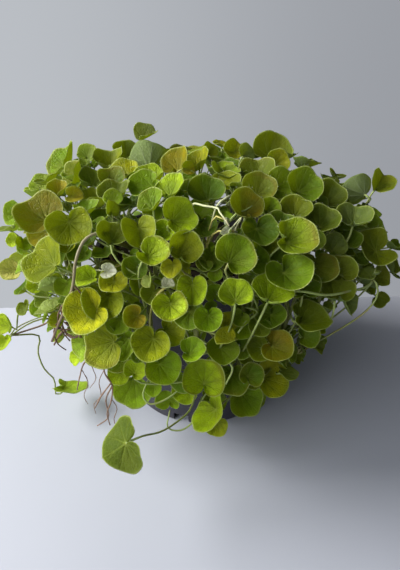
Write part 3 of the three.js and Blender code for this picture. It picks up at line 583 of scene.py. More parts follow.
def rimOwners(leaf):
    turns = next(found for least, found in leafShape["rims"] if leaf["wide"] >= least)
    rim = [-t for t in reversed(turns)] + [0, *turns]
    half = leafShape["thickness"] / math.cos(math.radians(forms[leaf["form"]][0])) / 2
    owners = []
    for point in bladePoints(leaf, rim, 1)[0]:
        for lift in (half, -half):
            place, index, away = cornerTree.find(Vector(point + leaf["face"] * lift))
            if away < matching["near"]:
                owners.append(cornerOwner[index])
    return owners


def followsPetiole(line, surface):
    steps = max(1, min(round(line.length / leafShape["petioleStep"]), matching["most"]))
    chord = line.even(np.linspace(0, 1, steps + 1))
    worst = 0
    for k in np.linspace(*matching["tested"]):
        i = min(int(k * steps), steps - 1)
        point = chord[i] + (chord[i + 1] - chord[i]) * (k * steps - i)
        worst = max(worst, surface.find_nearest(Vector(point))[3])
    return worst


def settle(leaf, via=(), spray=""):
    middle = leaf["middle"]
    away = unit(middle - eye)
    best, owner = matching["corners"], None
    for lift in leafShape["lifts"]:
        leaf["middle"] = middle + away * lift
        owners = rimOwners(leaf)
        if len(owners) > best:
            best, owner, found = len(owners), max(set(owners), key=owners.count), lift
    leaf["middle"] = middle + away * (found if owner else 0)
    target = via[0] if len(via) else hubOf(leaf)
    names = [owner] if owner else [spray] if spray else [n for n in sprays if sprays[n]["starts"]]
    choices = startsFor(target, names)
    tried = choices[: matching["starts"] if owner else 1]
    lines = [petioleLine(leaf, start, via) for cost, name, start in tried]
    if owner:
        misses = [followsPetiole(line, surfaces[owner]) for line in lines]
        leaf["line"] = lines[misses.index(min(misses))]
    else:
        leaf["line"] = lines[0]
    leaf["fine"] = owner is not None
    sprays[choices[0][1]]["leaves"].append(leaf)
    return owner is not None


# The leaves that show from the front: the pixel of the blade's middle, its width if it is as far
# away as leaves are sized, how far its face leans up and sideways from the viewer, where its
# notch points, clockwise from the top, its form, how deep it sits, and its tint
seenLeaves = (
    # Top left
    (146, 131, 14, 45, -10, 225, "folded", 0, "pale"),
    (60, 157, 21, 35, -28, 150, "cup", 0, "fresh"),
    (71, 174, 19, 20, -52, 200, "cup", -3, "olive"),
    (108, 155, 16, 50, -10, 180, "funnel", -2, "olive"),
    (128, 150, 16, 38, 10, 180, "cup", 4, "deepOlive"),
    (150, 158, 21, 145, 0, 185, "cup", -2, "under"),
    (175, 160, 18, 20, -25, 200, "cup", 0, "amber"),
    (189, 168, 9, 0, 40, 270, "folded", 2, "amber"),
    (197, 156, 14, 45, -10, 180, "funnel", 0, "gold"),
    (143, 183, 19, 40, -10, 70, "cup", 0, "fresh"),
    (169, 185, 18, 46, -10, 200, "cup", -3, "bright"),
    (206, 188, 20, 28, 10, 160, "cup", 0, "deep"),
    (150, 199, 16, 48, -20, 180, "cup", 2, "fresh"),
    (37, 210, 25, 22, -10, 125, "wavy", -4, "bronze"),
    (11, 213, 13, 10, -35, 90, "cup", 2, "fresh"),
    (69, 226, 23, 5, 5, 350, "shallow", -6, "olive"),
    (57, 186, 11, 35, 0, 180, "funnel", -2, "amber"),
    (74, 195, 11, 20, 20, 270, "folded", -2, "amber"),
    (43, 183, 15, 20, 0, 200, "flat", 8, "light"),
    (6, 228, 10, 75, 0, 90, "flat", 0, "under"),
    (12, 240, 8, 0, -10, 60, "cup", 0, "lime"),
    (24, 243, 9, 20, 30, 0, "cup", 1, "fresh"),
    (38, 236, 15, 10, -20, 30, "cup", 2, "amber"),
    (42, 258, 26, 15, -38, 120, "shallow", -5, "olive"),
    # Upper left, among the stems
    (87, 205, 14, 45, 0, 200, "cup", 1, "fresh"),
    (97, 225, 11, 20, 0, 150, "flat", 2, "fresh"),
    (112, 232, 17, 48, 10, 180, "cup", 0, "deepOlive"),
    (139, 230, 21, 12, 10, 350, "folded", 0, "olive"),
    (181, 215, 20, 10, 10, 250, "cup", -4, "bright"),
    (162, 232, 15, 15, -15, 45, "cup", -1, "bright"),
    (154, 251, 19, 30, 0, 285, "cup", -3, "bright"),
    (186, 246, 18, 20, 10, 200, "funnel", 0, "olive"),
    (171, 268, 12, 0, -35, 0, "cup", 0, "gold"),
    (184, 268, 9, 0, 0, 90, "flat", 3, "olive"),
    (85, 277, 14, 20, 0, 80, "folded", 0, "bright"),
    (64, 287, 11, 10, 20, 20, "cup", 0, "light"),
    (34, 285, 9, 10, 0, 90, "cup", 0, "lime"),
    (48, 284, 14, 60, 0, 90, "folded", 1, "under"),
    (9, 270, 12, 15, 0, 60, "wavy", 0, "withered"),
    (108, 271, 10, 20, 0, 275, "folded", -2, "white"),
    (113, 282, 15, 40, 0, 0, "wavy", 0, "gold"),
    (94, 176, 15, 40, 0, 190, "cup", 4, "deep"),
    (114, 188, 18, 50, 0, 180, "cup", 2, "deepOlive"),
    (113, 197, 10, 20, 0, 180, "flat", 2, "fresh"),
    (112, 208, 10, 0, 72, 180, "flat", -2, "light"),
    (203, 225, 15, 10, 0, 0, "cup", 4, "deep"),
    (67, 247, 9, 30, 0, 0, "cup", 0, "gold"),
    (168, 284, 9, 40, 0, 270, "folded", 2, "white"),
    (147, 280, 9, 20, -30, 330, "folded", 2, "under"),
    # Top right
    (237, 253, 22, 10, 15, 225, "cup", -5, "fresh"),
    (256, 258, 19, 10, 25, 200, "cup", 2, "fresh"),
    (298, 236, 24, 33, 0, 278, "cup", -8, "bright"),
    (281, 223, 17, 20, 0, 200, "cup", 2, "deep"),
    (261, 230, 19, 25, 0, 350, "cup", 5, "deep"),
    (267, 244, 12, 10, 0, 180, "cup", 3, "olive"),
    (290, 271, 25, 30, 10, 335, "cup", -5, "fresh"),
    (276, 252, 15, 20, 0, 200, "cup", 2, "deep"),
    (274, 288, 22, 42, 0, 205, "cup", -5, "bright"),
    (247, 203, 20, 20, 10, 160, "cup", -3, "bronze"),
    (260, 185, 18, 15, -10, 200, "cup", 0, "deep"),
    (283, 184, 19, 15, 15, 265, "wavy", -2, "fresh"),
    (257, 168, 19, 35, 0, 180, "cup", 3, "deep"),
    (273, 147, 20, 20, 0, 190, "wavy", -1, "olive"),
    (233, 149, 11, 15, 0, 90, "cup", 0, "gold"),
    (221, 143, 9, 60, 0, 180, "flat", 2, "gold"),
    (211, 149, 9, 20, 20, 200, "cup", 2, "olive"),
    (226, 169, 16, 45, 0, 0, "cup", 2, "light"),
    (247, 152, 10, 0, 40, 220, "flat", 2, "under"),
    (306, 184, 19, 20, 10, 230, "cup", 0, "fresh"),
    (330, 193, 18, 25, 0, 200, "cup", 0, "deepOlive"),
    (356, 189, 17, 140, -10, 110, "cup", 0, "under"),
    (296, 206, 17, 35, 0, 180, "cup", 3, "olive"),
    (324, 217, 18, 25, 0, 210, "cup", 1, "deepOlive"),
    (342, 206, 12, 40, 0, 90, "cup", 2, "bright"),
    (355, 213, 18, 50, 0, 190, "cup", -3, "under"),
    (375, 223, 12, 30, 30, 270, "cup", 2, "fresh"),
    (376, 246, 22, 20, 5, 80, "wavy", -2, "olive"),
    (394, 263, 13, 10, 50, 0, "cup", 0, "deepOlive"),
    (342, 268, 16, 20, 0, 180, "cup", 2, "deep"),
    (320, 266, 20, 20, 0, 0, "cup", 4, "deep"),
    (381, 275, 14, 10, 40, 180, "cup", 0, "deepOlive"),
    (337, 287, 19, 42, 0, 180, "cup", 0, "deep"),
    (270, 207, 12, 10, 0, 200, "cup", 1, "fresh"),
    (367, 273, 13, 60, 0, 150, "flat", 3, "under"),
    (249, 277, 12, 30, 0, 160, "cup", 3, "deep"),
    (304, 284, 17, 20, 0, 180, "cup", 5, "deep"),
    # Front
    (102, 302, 22, 5, -10, 20, "cup", -4, "olive"),
    (85, 312, 24, 18, -20, 60, "shallow", -1, "gold"),
    (170, 306, 18, 20, 0, 355, "cup", -6, "bright"),
    (192, 290, 19, 12, -5, 0, "folded", -3, "bright"),
    (236, 292, 18, 22, 0, 182, "wavy", -4, "bright"),
    (204, 264, 9, 10, 0, 30, "cup", 3, "deep"),
    (215, 275, 8, 10, 0, 0, "flat", 3, "fresh"),
    (122, 312, 13, 0, -20, 0, "cup", 3, "deep"),
    (189, 315, 17, 10, 0, 0, "cup", 2, "deep"),
    (215, 293, 11, 0, 0, 180, "flat", 3, "fresh"),
    (47, 307, 16, 60, -10, 110, "flat", 0, "under"),
    (56, 320, 9, 10, 0, 40, "cup", 0, "olive"),
    (204, 378, 22, 10, 0, 185, "cup", -3, "bright"),
    (184, 391, 14, 0, 0, 60, "cup", 1, "bright"),
    (208, 412, 22, 46, -40, 315, "cup", -11, "bright"),
    (216, 426, 12, 0, 0, 20, "cup", 0, "olive"),
    (164, 368, 19, 22, 0, 330, "cup", -2, "fresh"),
    (150, 344, 20, 12, 5, 20, "cup", -4, "olive"),
    (171, 332, 17, 15, 0, 300, "cup", 5, "olive"),
    (193, 349, 15, 38, 0, 255, "cup", -2, "fresh"),
    (208, 319, 15, 10, -10, 0, "cup", -2, "fresh"),
    (226, 337, 14, 55, 0, 70, "folded", -3, "gold"),
    (228, 321, 12, 10, 30, 180, "cup", 0, "gold"),
    (122, 345, 18, 0, -20, 0, "cup", 0, "light"),
    (134, 317, 13, 20, 0, 60, "cup", -1, "bronze"),
    (101, 346, 23, 0, -30, 75, "cup", -3, "olive"),
    (81, 347, 17, 0, -52, 20, "cup", 0, "light"),
    (75, 358, 9, 0, -30, 45, "cup", 0, "lime"),
    (132, 392, 21, -32, 0, 352, "cup", -2, "fresh"),
    (118, 374, 12, 0, 0, 60, "cup", 0, "lime"),
    (135, 369, 12, 10, 0, 200, "cup", 1, "bright"),
    (167, 401, 13, -10, 0, 170, "cup", 0, "fresh"),
    (223, 350, 17, 20, 0, 0, "cup", 3, "deep"),
    (233, 380, 18, 0, 15, 0, "cup", 2, "deep"),
    (252, 374, 14, 0, 20, 200, "cup", 0, "deep"),
    (246, 401, 19, 5, 10, 0, "cup", 0, "fresh"),
    (274, 377, 20, 0, 10, 255, "cup", -2, "gold"),
    (278, 346, 18, 22, 0, 300, "cup", 0, "bronze"),
    (259, 349, 14, 10, 0, 60, "cup", 3, "deepOlive"),
    (312, 316, 22, 58, 0, 270, "cup", 0, "deepOlive"),
    (309, 336, 13, 28, 10, 270, "wavy", 0, "deep"),
    (351, 304, 14, 10, 40, 330, "folded", 0, "under"),
    (327, 305, 11, 60, 0, 0, "cup", 2, "under"),
    (270, 315, 17, 30, 0, 0, "cup", 4, "deep"),
    (292, 353, 12, 0, 55, 0, "cup", 2, "deep"),
    (288, 372, 12, 60, 20, 300, "flat", 1, "under"),
    (117, 323, 13, 0, 0, 30, "cup", 2, "light"),
    (153, 389, 9, 0, 0, 0, "cup", 2, "fresh"),)

# Small leaves deep in the mound and withered ones, in the same columns
deepLeaves = (
    (226, 231, 6, 10, -35, 60, "curled", -8, "white"),
    (234, 231, 6, 30, 40, 320, "curled", -8, "white"),
    (227, 221, 5, 0, 68, 330, "folded", -9, "white"),
    (87, 152, 11, 10, 0, 200, "flat", 4, "light"),
    (99, 215, 14, 45, 0, 180, "cup", 4, "deep"),
    (79, 253, 14, 30, 0, 45, "cup", 4, "deep"),
    (134, 268, 14, 20, 0, 45, "cup", 6, "deep"),
    (141, 285, 13, 10, 20, 0, "cup", 6, "deep"),
    (111, 175, 14, 30, 0, 170, "cup", 4, "deep"),
    (153, 211, 11, 20, 0, 200, "cup", 4, "fresh"),
    (121, 203, 12, 40, 0, 150, "cup", 7, "deep"),
    (177, 197, 13, 30, 10, 180, "cup", 6, "deep"),
    (279, 161, 13, 10, 0, 250, "cup", 5, "gold"),
    (335, 244, 14, 30, 0, 180, "cup", 6, "under"),
    (212, 259, 14, 10, 0, 0, "cup", 5, "deep"),
    (340, 222, 14, 30, 0, 160, "cup", 5, "deep"),
    (349, 238, 14, 30, 0, 200, "cup", 6, "deep"),
    (152, 294, 13, 10, 0, 30, "cup", 4, "deep"),
    (259, 326, 13, 20, 0, 30, "cup", 5, "deep"),
    (240, 318, 10, 20, 0, 30, "cup", 4, "deep"),)

# Leaves on long petioles that stand clear of the mound or trail beside it, with their petioles'
# points, each a pixel with its depth from the pot's axis
looseLeaves = (
    # The loose leaf in front takes the shade colour, painted shade
    ((124, 446, 30, 5, -42, 64, "drooped", -103, "shade"), "",
     ((199, 390, -68), (190, 410, -76), (174, 424, -86), (160, 432, -93))),
    ((383, 180, 16, 28, 22, 215, "folded", 5, "olive"), "", ((350, 222, -4), (366, 204, 1))),
    ((381, 300, 9, -10, 0, 300, "cup", -22, "deepOlive"), "",
     ((325, 293, -48), (350, 291, -34), (367, 290, -24))),
    ((3, 324, 13, 0, -20, 170, "cup", -38, "lime"), "left_runner", ((20, 311, -33),)),
    ((2, 342, 10, 10, 0, 0, "cup", -36, "lime"), "left_runner", ()),
    ((71, 386, 19, 80, 0, 285, "flat", -32, "light"), "left_runner",
     ((39, 336, -28), (38, 352, -30), (45, 370, -32), (54, 379, -33))),
)

placed = []
for row, spray, via in looseLeaves:
    placed.append(settle(seenLeaf(row, seenAt(row[0], row[1], row[7])), seenPoints(via), spray))
for row in seenLeaves:
    placed.append(settle(seenLeaf(row, onMound(row[0], row[1], row[7]))))
for leaf in hiddenLeaves():
    placed.append(settle(leaf))
print("leaves matched to the solids:", sum(placed), "of", len(placed))


for row in deepLeaves:
    settle(seenLeaf(row, onMound(row[0], row[1], row[7])))


# Small leaves that fill the shade inside the mound, but not below and outside the two bare
# corners, which are pixels
filling = dict(count=460, tries=20, seed=23, wide=(8, 17), levels=(30, 138), depth=(2, 30),
               apart=(3, 0.4), clear=(8, 6), front=(190, 350), bare=((88, 340), (322, 290)),
               flatten=0.7, least=0.3, turn=80, tipTurn=240, tipUp=-0.6,
               forms=("cup", "flat", "folded", "cup"), tints=("deep", "deep", "deepOlive", "fresh"))


# Each stays clear of the pot and of the other blades
def fillMound():
    draw = seeded(filling["seed"])
    taken = [leaf["middle"] for spray in sprays.values() for leaf in spray["leaves"]]
    names = [name for name in sprays if sprays[name]["starts"]]
    made = 0
    bottom, top = filling["levels"]
    for attempt in range(filling["count"] * filling["tries"]):
        turn, level, size, depth, lean, spin = [draw() for k in range(6)]
        z = bottom + (top - bottom) * level
        start, end = filling["front"] if attempt % 2 else (0, 360)
        degrees = start + (end - start) * turn
        low, high = filling["depth"]
        reach = moundReach(degrees, z) - low - (high - low) * depth
        middle = polar(reach, degrees, z)
        wallAt = pot["baseRadius"] + (pot["topRadius"] - pot["baseRadius"]) * z / pot["height"]
        beside, over = filling["clear"]
        clearOfPot = reach > wallAt + beside or z > pot["height"] + over
        smallest, largest = filling["wide"]
        wide = smallest + (largest - smallest) * size * size
        least, perWidth = filling["apart"]
        crowded = np.linalg.norm(np.array(taken) - middle, axis=1).min() < least + perWidth * wide
        across, down = pixelOf(middle)
        bareLeft, bareRight = filling["bare"]
        bare = down > bareRight[1] and across > bareRight[0] or down > bareLeft[1] and across < bareLeft[0]
        if crowded or bare or not clearOfPot or made >= filling["count"]:
            continue
        rise = shareOf(z, hidden["low"], hidden["high"])
        faceTurn = degrees + filling["turn"] * (lean - 0.5)
        face = unit(polar(1 - filling["flatten"] * rise, faceTurn, filling["least"] + rise))
        tip = polar(1, degrees + filling["tipTurn"] * (spin - 0.5), filling["tipUp"])
        form = filling["forms"][int(len(filling["forms"]) * spin)]
        tint = filling["tints"][made % len(filling["tints"])]
        leaf = dict(frameOf(middle, face, tip), wide=wide, form=form, tint=tint, fine=False)
        cost, name, start = startsFor(hubOf(leaf), names)[0]
        leaf["line"] = petioleLine(leaf, start, ())
        sprays[name]["leaves"].append(leaf)
        taken.append(middle)
        made += 1
    return made


print("leaves in the shade:", fillMound())


# Leaf colours as they look in daylight, red green blue from 0 to 255; shade is painted shade, a darker green standing
# in for the shade on the loose leaf in front
tints = dict(
    bright=(176, 204, 20), fresh=(134, 170, 16), deep=(78, 112, 9), olive=(150, 158, 14),
    bronze=(144, 122, 16), deepOlive=(96, 108, 8), amber=(168, 148, 14), gold=(190, 188, 18),
    lime=(188, 212, 38), light=(158, 188, 50), under=(140, 158, 86), pale=(184, 194, 118),
    withered=(206, 196, 110), white=(226, 224, 206), cream=(204, 208, 160), shade=(62, 76, 8),
    petiole=(158, 176, 100), stem=(132, 138, 66), wiry=(112, 84, 64), root=(140, 112, 92),
)


# A tint as linear colour, scaled by bright, which on blades carries their painted light and shade
def colourOf(tint, bright=1.0):
    rgb = np.array(tints[tint]) / 255
    return bright * np.where(rgb < 0.04045, rgb / 12.92, ((rgb + 0.055) / 1.055) ** 2.4)


# The corners, faces and colours of one piece as they are made. Each corner keeps a tint with a
# random share, and a place: on a blade the way from its hub, the share of the way to the rim and
# whether it is above; on a stem the share of its length
class Skin:
    def __init__(self):
        self.corners, self.faces, self.kinds, self.places, self.colours = [], [], [], [], []
        self.count = 0

    def add(self, corners, faces, kind, places, colour):
        self.corners.append(np.asarray(corners, float))
        self.faces += [tuple(self.count + k for k in face) for face in faces]
        self.kinds += [kind] * len(faces)
        self.places.append(np.broadcast_to(places, (len(corners), 4)))
        self.colours.append(np.broadcast_to(colour, (len(corners), 4)))
        self.count += len(corners)

    def piece(self, name, materials):
        mesh = bpy.data.meshes.new(name)
        mesh.from_pydata(np.vstack(self.corners) * metre, [], self.faces)
        for attribute, rows in (("place", self.places), ("tint", self.colours)):
            layer = mesh.color_attributes.new(attribute, "FLOAT_COLOR", "POINT")
            layer.data.foreach_set("color", np.vstack(rows).astype(np.float32).ravel())
        for material in materials:
            mesh.materials.append(material)
        mesh.polygons.foreach_set("material_index", self.kinds)
        mesh.polygons.foreach_set("use_smooth", [True] * len(self.faces))
        return linked(name, mesh)


# Painted light and shade: leaves are painted paler towards the window side and deeper away from it, and painted deeper
# on the top of the mound, standing in for how the window's light falls
paintedWindowLight = dict(start=-5, end=50, pale=1.34, deep=0.7, low=100, high=132, top=0.72)


# The factor of painted light and shade for a leaf at a point
def paintedLightShare(point):
    share = shareOf(point[0], paintedWindowLight["start"], paintedWindowLight["end"])
    rise = shareOf(point[2], paintedWindowLight["low"], paintedWindowLight["high"])
    return (paintedWindowLight["pale"] + (paintedWindowLight["deep"] - paintedWindowLight["pale"]) * share) * (1 + (paintedWindowLight["top"] - 1) * rise)


onBlade, onStem, onHair = 0, 1, 2
veins = dict(apart=34.5, last=172.5, end=178.2, depth=0.006, columns=4, smallColumns=2)
# Shares of the way out from a blade's hub where its rings lie, half its thickness there, its
# broad and fine ripples, and how its outline differs
blade = dict(shares=(0.1, 0.24, 0.42, 0.6, 0.77, 0.9, 0.968, 1),
             smallShares=(0.15, 0.4, 0.65, 0.86, 0.96, 1), fineWidth=12, half=0.24,
             thinFrom=0.95, thin=0.8, broad=0.032, ripple=0.02, uneven=0.026, dent=0.03)


# One blade in a closed skin, thin, with a round rim and its veins sunk above and raised below
def addBlade(skin, leaf, draw):
    fine = leaf["fine"] and leaf["wide"] >= blade["fineWidth"]
    between = veins["columns"] if fine else veins["smallColumns"]
    turns = np.arange(-veins["last"], veins["last"] + 0.01, veins["apart"] / between)
    turns = np.concatenate([[-veins["end"]], turns, [veins["end"]]])
    shares = np.array(blade["shares"] if fine else blade["smallShares"])
    wide = leaf["wide"]
    middle = bladePoints(leaf, turns, shares)
    angle = np.radians(turns)[None, :]
    out = shares[:, None]
    phase = 6.28 * draw()
    grooves = np.cos(np.radians(turns * 360 / veins["apart"]))[None, :] * 4 * out * (1 - out)
    relief = -veins["depth"] * wide * grooves
    relief = relief + blade["broad"] * wide * out**2 * np.sin(2 * angle + phase)
    relief = relief + blade["ripple"] * wide * out**3 * np.sin(7 * angle + 2 * phase)
    middle = middle + relief[..., None] * leaf["face"]
    spread = 1 + blade["uneven"] * np.sin(5 * angle + phase) * out
    spread = spread - blade["dent"] * np.exp(-((angle / 0.2) ** 2)) * out * (phase > 3)
    hub = hubOf(leaf)
    middle = hub + (middle - hub) * spread[..., None]
    half = blade["half"] * np.where(out < blade["thinFrom"], 1, blade["thin"])
    lift = (half * np.ones_like(angle))[..., None] * leaf["face"]
    above, below = middle + lift, middle - lift
    rings, columns = len(shares), len(turns)
    inner = [(i, j) for i in range(rings - 1) for j in range(1, columns - 1)]
    aboveAt, belowAt, corners, places = {}, {}, [], []

    def put(point, i, j, side):
        share = shares[i] if i >= 0 else 0
        turn = math.radians(turns[j])
        corners.append(point)
        places.append((0.5 + 0.5 * share * math.sin(turn), 0.5 + 0.5 * share * math.cos(turn), share, side))
        return len(corners) - 1

    for i in range(rings):
        for j in range(columns):
            if (i, j) in ((i, 0), (i, columns - 1)) or i == rings - 1:
                aboveAt[i, j] = belowAt[i, j] = put(middle[i, j], i, j, 0.5)
    for i, j in inner:
        aboveAt[i, j] = put(above[i, j], i, j, 1)
        belowAt[i, j] = put(below[i, j], i, j, 0)
    top = put(hub + leaf["face"] * blade["half"], -1, 0, 1)
    under = put(hub - leaf["face"] * blade["half"], -1, 0, 0)
    faces = []
    for j in range(columns - 1):
        faces.append((top, aboveAt[0, j], aboveAt[0, j + 1]))
        faces.append((under, belowAt[0, j + 1], belowAt[0, j]))
        for i in range(rings - 1):
            faces.append((aboveAt[i, j], aboveAt[i + 1, j], aboveAt[i + 1, j + 1], aboveAt[i, j + 1]))
            faces.append((belowAt[i, j], belowAt[i, j + 1], belowAt[i + 1, j + 1], belowAt[i + 1, j]))
    faces.append((top, under, aboveAt[0, 0]))
    faces.append((under, top, aboveAt[0, columns - 1]))
    # Each blade's colour takes the painted light and shade of its place in the mound
    bright = (0.9 + 0.2 * draw()) * paintedLightShare(leaf["middle"])
    skin.add(corners, faces, onBlade, places, (*colourOf(leaf["tint"], bright), draw()))
    if fine:
        for k in range(int(wide)):
            j = 1 + int(draw() * (columns - 2))
            root = middle[rings - 1, j]
            heading = unit(unit(root - hub) + leaf["face"] * (draw() - 0.5))
            addHair(skin, root, heading, hair["onRim"] + hair["more"] * draw())


hair = dict(radius=0.045, sunk=0.1, turns=(0, 2.094, 4.189), onRim=0.7, onPetiole=0.6, more=0.5)


def addHair(skin, root, heading, length):
    side = unit(np.cross(heading, (0.31, 0.47, 0.83)))
    across = np.cross(heading, side)
    back = root - heading * hair["sunk"]
    ring = [back + hair["radius"] * (side * math.cos(k) + across * math.sin(k)) for k in hair["turns"]]
    skin.add([*ring, root + heading * length], [(0, 2, 1), (0, 1, 3), (1, 2, 3), (2, 0, 3)], onHair,
             (0, 0, 0, 1), (*colourOf("pale"), 1))


# A round stem along points, with its own radius at each, closed at both ends
def addStem(skin, points, radii, sides, colours):
    points = np.asarray(points, float)
    tangents = np.gradient(points, axis=0)
    tangents /= np.linalg.norm(tangents, axis=1)[:, None]
    across = unit(np.cross(tangents[0], (0.36, 0.48, 0.8)))
    turns = np.arange(sides) * 2 * math.pi / sides
    corners, places, shades = [], [], []
    for k, (point, tangent, radius) in enumerate(zip(points, tangents, radii)):
        across = unit(across - tangent * np.dot(across, tangent))
        other = np.cross(tangent, across)
        for turn in turns:
            corners.append(point + radius * (math.cos(turn) * across + math.sin(turn) * other))
            places.append((0.5 + 0.5 * math.sin(turn), 0.5 + 0.5 * math.cos(turn), k / (len(points) - 1), 1))
            shades.append(colours[k])
    faces = []
    for k in range(len(points) - 1):
        for s in range(sides):
            a, b = k * sides + s, k * sides + (s + 1) % sides
            faces.append((a, b, b + sides, a + sides))
    faces.append(tuple(reversed(range(sides))))
    faces.append(tuple(range((len(points) - 1) * sides, len(points) * sides)))
    skin.add(corners, faces, onStem, places, shades)


def blend(a, b, count, randomShare):
    shares = np.linspace(0, 1, count)[:, None]
    mixed = colourOf(a) * (1 - shares) + colourOf(b) * shares
    return np.hstack([mixed, np.full((count, 1), randomShare)])


# A petiole's steps, its radius and sides on a leaf of the solids and on a small one, how it thins
# on its way and widens under its blade, and its hairs for each millimetre
petiole = dict(step=3.5, fewest=6, most=22, radius=0.52, smallRadius=0.4, sides=7, smallSides=5,
               thin=0.2, end=(1.15, 1.3), hairs=0.4)


def addPetiole(skin, leaf, draw):
    line, fine = leaf["line"], leaf["fine"]
    count = max(petiole["fewest"], min(int(line.length / petiole["step"]), petiole["most"]))
    shares = np.linspace(0, 1, count)
    points = line.even(shares)
    radii = petiole["radius" if fine else "smallRadius"] * (1 - petiole["thin"] * shares)
    radii[-2:] *= petiole["end"]
    tip = "withered" if leaf["tint"] in ("white", "withered") else "petiole"
    sides = petiole["sides" if fine else "smallSides"]
    addStem(skin, points, radii, sides, blend("stem", tip, count, draw()))
    if fine:
        for k in range(int(line.length * petiole["hairs"])):
            i = int(draw() * (count - 2))
            tangent = unit(points[i + 1] - points[i])
            outward = unit(np.cross(tangent, np.array([draw() - 0.5, draw() - 0.5, draw() - 0.5])))
            root = points[i] + (points[i + 1] - points[i]) * draw() + outward * radii[i]
            addHair(skin, root, unit(outward + tangent * 0.5), hair["onPetiole"] + hair["more"] * draw())


# A runner's steps, how far apart its knots stand, and how it thins towards its end
runner = dict(step=2.2, fewest=8, knotsApart=1.9, thin=0.3, sides=9)


def addRunner(skin, points, radius, tint, draw, knots=0.12, first=None):
    line = Line(points) if not isinstance(points, Line) else points
    count = max(runner["fewest"], int(line.length / runner["step"]))
    shares = np.linspace(0, 1, count)
    swell = 1 + knots * np.sin(shares * line.length / runner["knotsApart"] + 6 * draw()) ** 6
    radii = radius * swell * (1 - runner["thin"] * shares**3)
    flush = 0.1 if tint in ("wiry", "root") else draw()
    addStem(skin, line.even(shares), radii, runner["sides"], blend(first or tint, tint, count, flush))


# Bare petioles and runners that show among the leaves, as pixels with a depth from the pot's
# axis, with their tint and radius
barePetioles = (
    ("petiole", 0.5, ((186, 380, -64), (168, 398, -70), (150, 404, -72), (143, 396, -70), (148, 380, -66))),
    ("petiole", 0.5, ((205, 395, -66), (196, 418, -72), (182, 430, -76), (168, 428, -76), (170, 410, -72))),
    ("petiole", 0.55, ((300, 291, -76), (325, 295, -77), (350, 291, -70), (370, 284, -62), (376, 268, -55))),
    ("petiole", 0.5, ((258, 312, -74), (246, 322, -80), (238, 333, -84))),
    ("petiole", 0.5, ((351, 221, -22), (344, 236, -26), (337, 252, -30))),
    ("petiole", 0.5, ((200, 340, -72), (216, 352, -80), (232, 366, -86), (226, 384, -84))),
    ("cream", 0.45, ((192, 205, -60), (205, 206, -66), (219, 209, -70), (220, 213, -72), (225, 219, -74),
                     (229, 226, -77))),
    ("cream", 0.42, ((218, 204, -66), (224, 199, -66), (231, 195, -64))),
    ("cream", 0.38, ((242, 217, -62), (238, 224, -68), (235, 230, -74))),
    ("cream", 0.45, ((75, 266, -62), (84, 269, -64), (96, 270, -66), (104, 271, -68))),
    ("petiole", 0.5, ((236, 214, -58), (246, 210, -56), (254, 204, -54))),
)

# A bare petiole grows from the stem point that lies nearest to its first point
for tint, radius, rows in barePetioles:
    points = seenPoints(rows)
    cost, owner, start = startsFor(points[0], [name for name in sprays if sprays[name]["starts"]])[0]
    sprays[owner]["twigs"].append((tint, radius, [start, *points]))


# A shader socket that can stand in a sum: each operator adds its Math node
class Wire:
    def __init__(self, shader, socket):
        self.shader, self.socket = shader, socket

    def out(self, name):
        return Wire(self.shader, self.socket.node.outputs[name])

    def maths(self, operation, *values):
        return self.shader.node("Math", dict(operation=operation), dict(enumerate(values)))

    def __add__(self, other):
        return self.maths("ADD", self, other)

    def __radd__(self, other):
        return self.maths("ADD", other, self)

    def __sub__(self, other):
        return self.maths("SUBTRACT", self, other)

    def __rsub__(self, other):
        return self.maths("SUBTRACT", other, self)

    def __mul__(self, other):
        return self.maths("MULTIPLY", self, other)

    def __rmul__(self, other):
        return self.maths("MULTIPLY", other, self)

    def __truediv__(self, other):
        return self.maths("DIVIDE", self, other)

    def __abs__(self):
        return self.maths("ABSOLUTE", self)

    def __round__(self):
        return self.maths("ROUND", self)


# A material, or the world, being wired
class Shader:
    def __init__(self, owner):
        self.owner = owner
        owner.use_nodes = True
        self.tree = owner.node_tree
        self.tree.nodes.clear()

    def node(self, kind, settings=None, sockets=None, output=0):
        made = self.tree.nodes.new("ShaderNode" + kind)
        for name, value in (settings or {}).items():
            setattr(made, name, value)
        for name, value in (sockets or {}).items():
            if isinstance(value, Wire):
                self.tree.links.new(value.socket, made.inputs[name])
            else:
                made.inputs[name].default_value = value
        if made.outputs:
            return Wire(self, made.outputs[output])

    # 0 below low, 1 above high, smooth between them
    def step(self, value, low, high):
        return self.node("MapRange", dict(interpolation_type="SMOOTHSTEP"),
                         {"Value": value, "From Min": low, "From Max": high})

    def mix(self, share, a, b):
        a, b = [c if isinstance(c, Wire) else (*c, 1) for c in (a, b)]
        return self.node("Mix", dict(data_type="RGBA"), {0: share, 6: a, 7: b}, output=2)

    def noise(self, where, scale, detail=3, rough=0.55):
        sockets = {"Vector": where, "Scale": scale, "Detail": detail, "Roughness": rough}
        return self.node("TexNoise", {}, sockets)

    def bump(self, height, distance, strength=1):
        return self.node("Bump", {}, {"Height": height, "Distance": distance, "Strength": strength})

    def where(self):
        return self.node("TexCoord").out("Object")

    def layer(self, name):
        return self.node("VertexColor", dict(layer_name=name))

    def surface(self, shader):
        self.node("OutputMaterial", {}, {"Surface": shader})
        return self.owner

    def skin(self, sockets):
        return self.surface(self.node("BsdfPrincipled", {}, sockets))


def newShader(name):
    return Shader(bpy.data.materials.new(name))
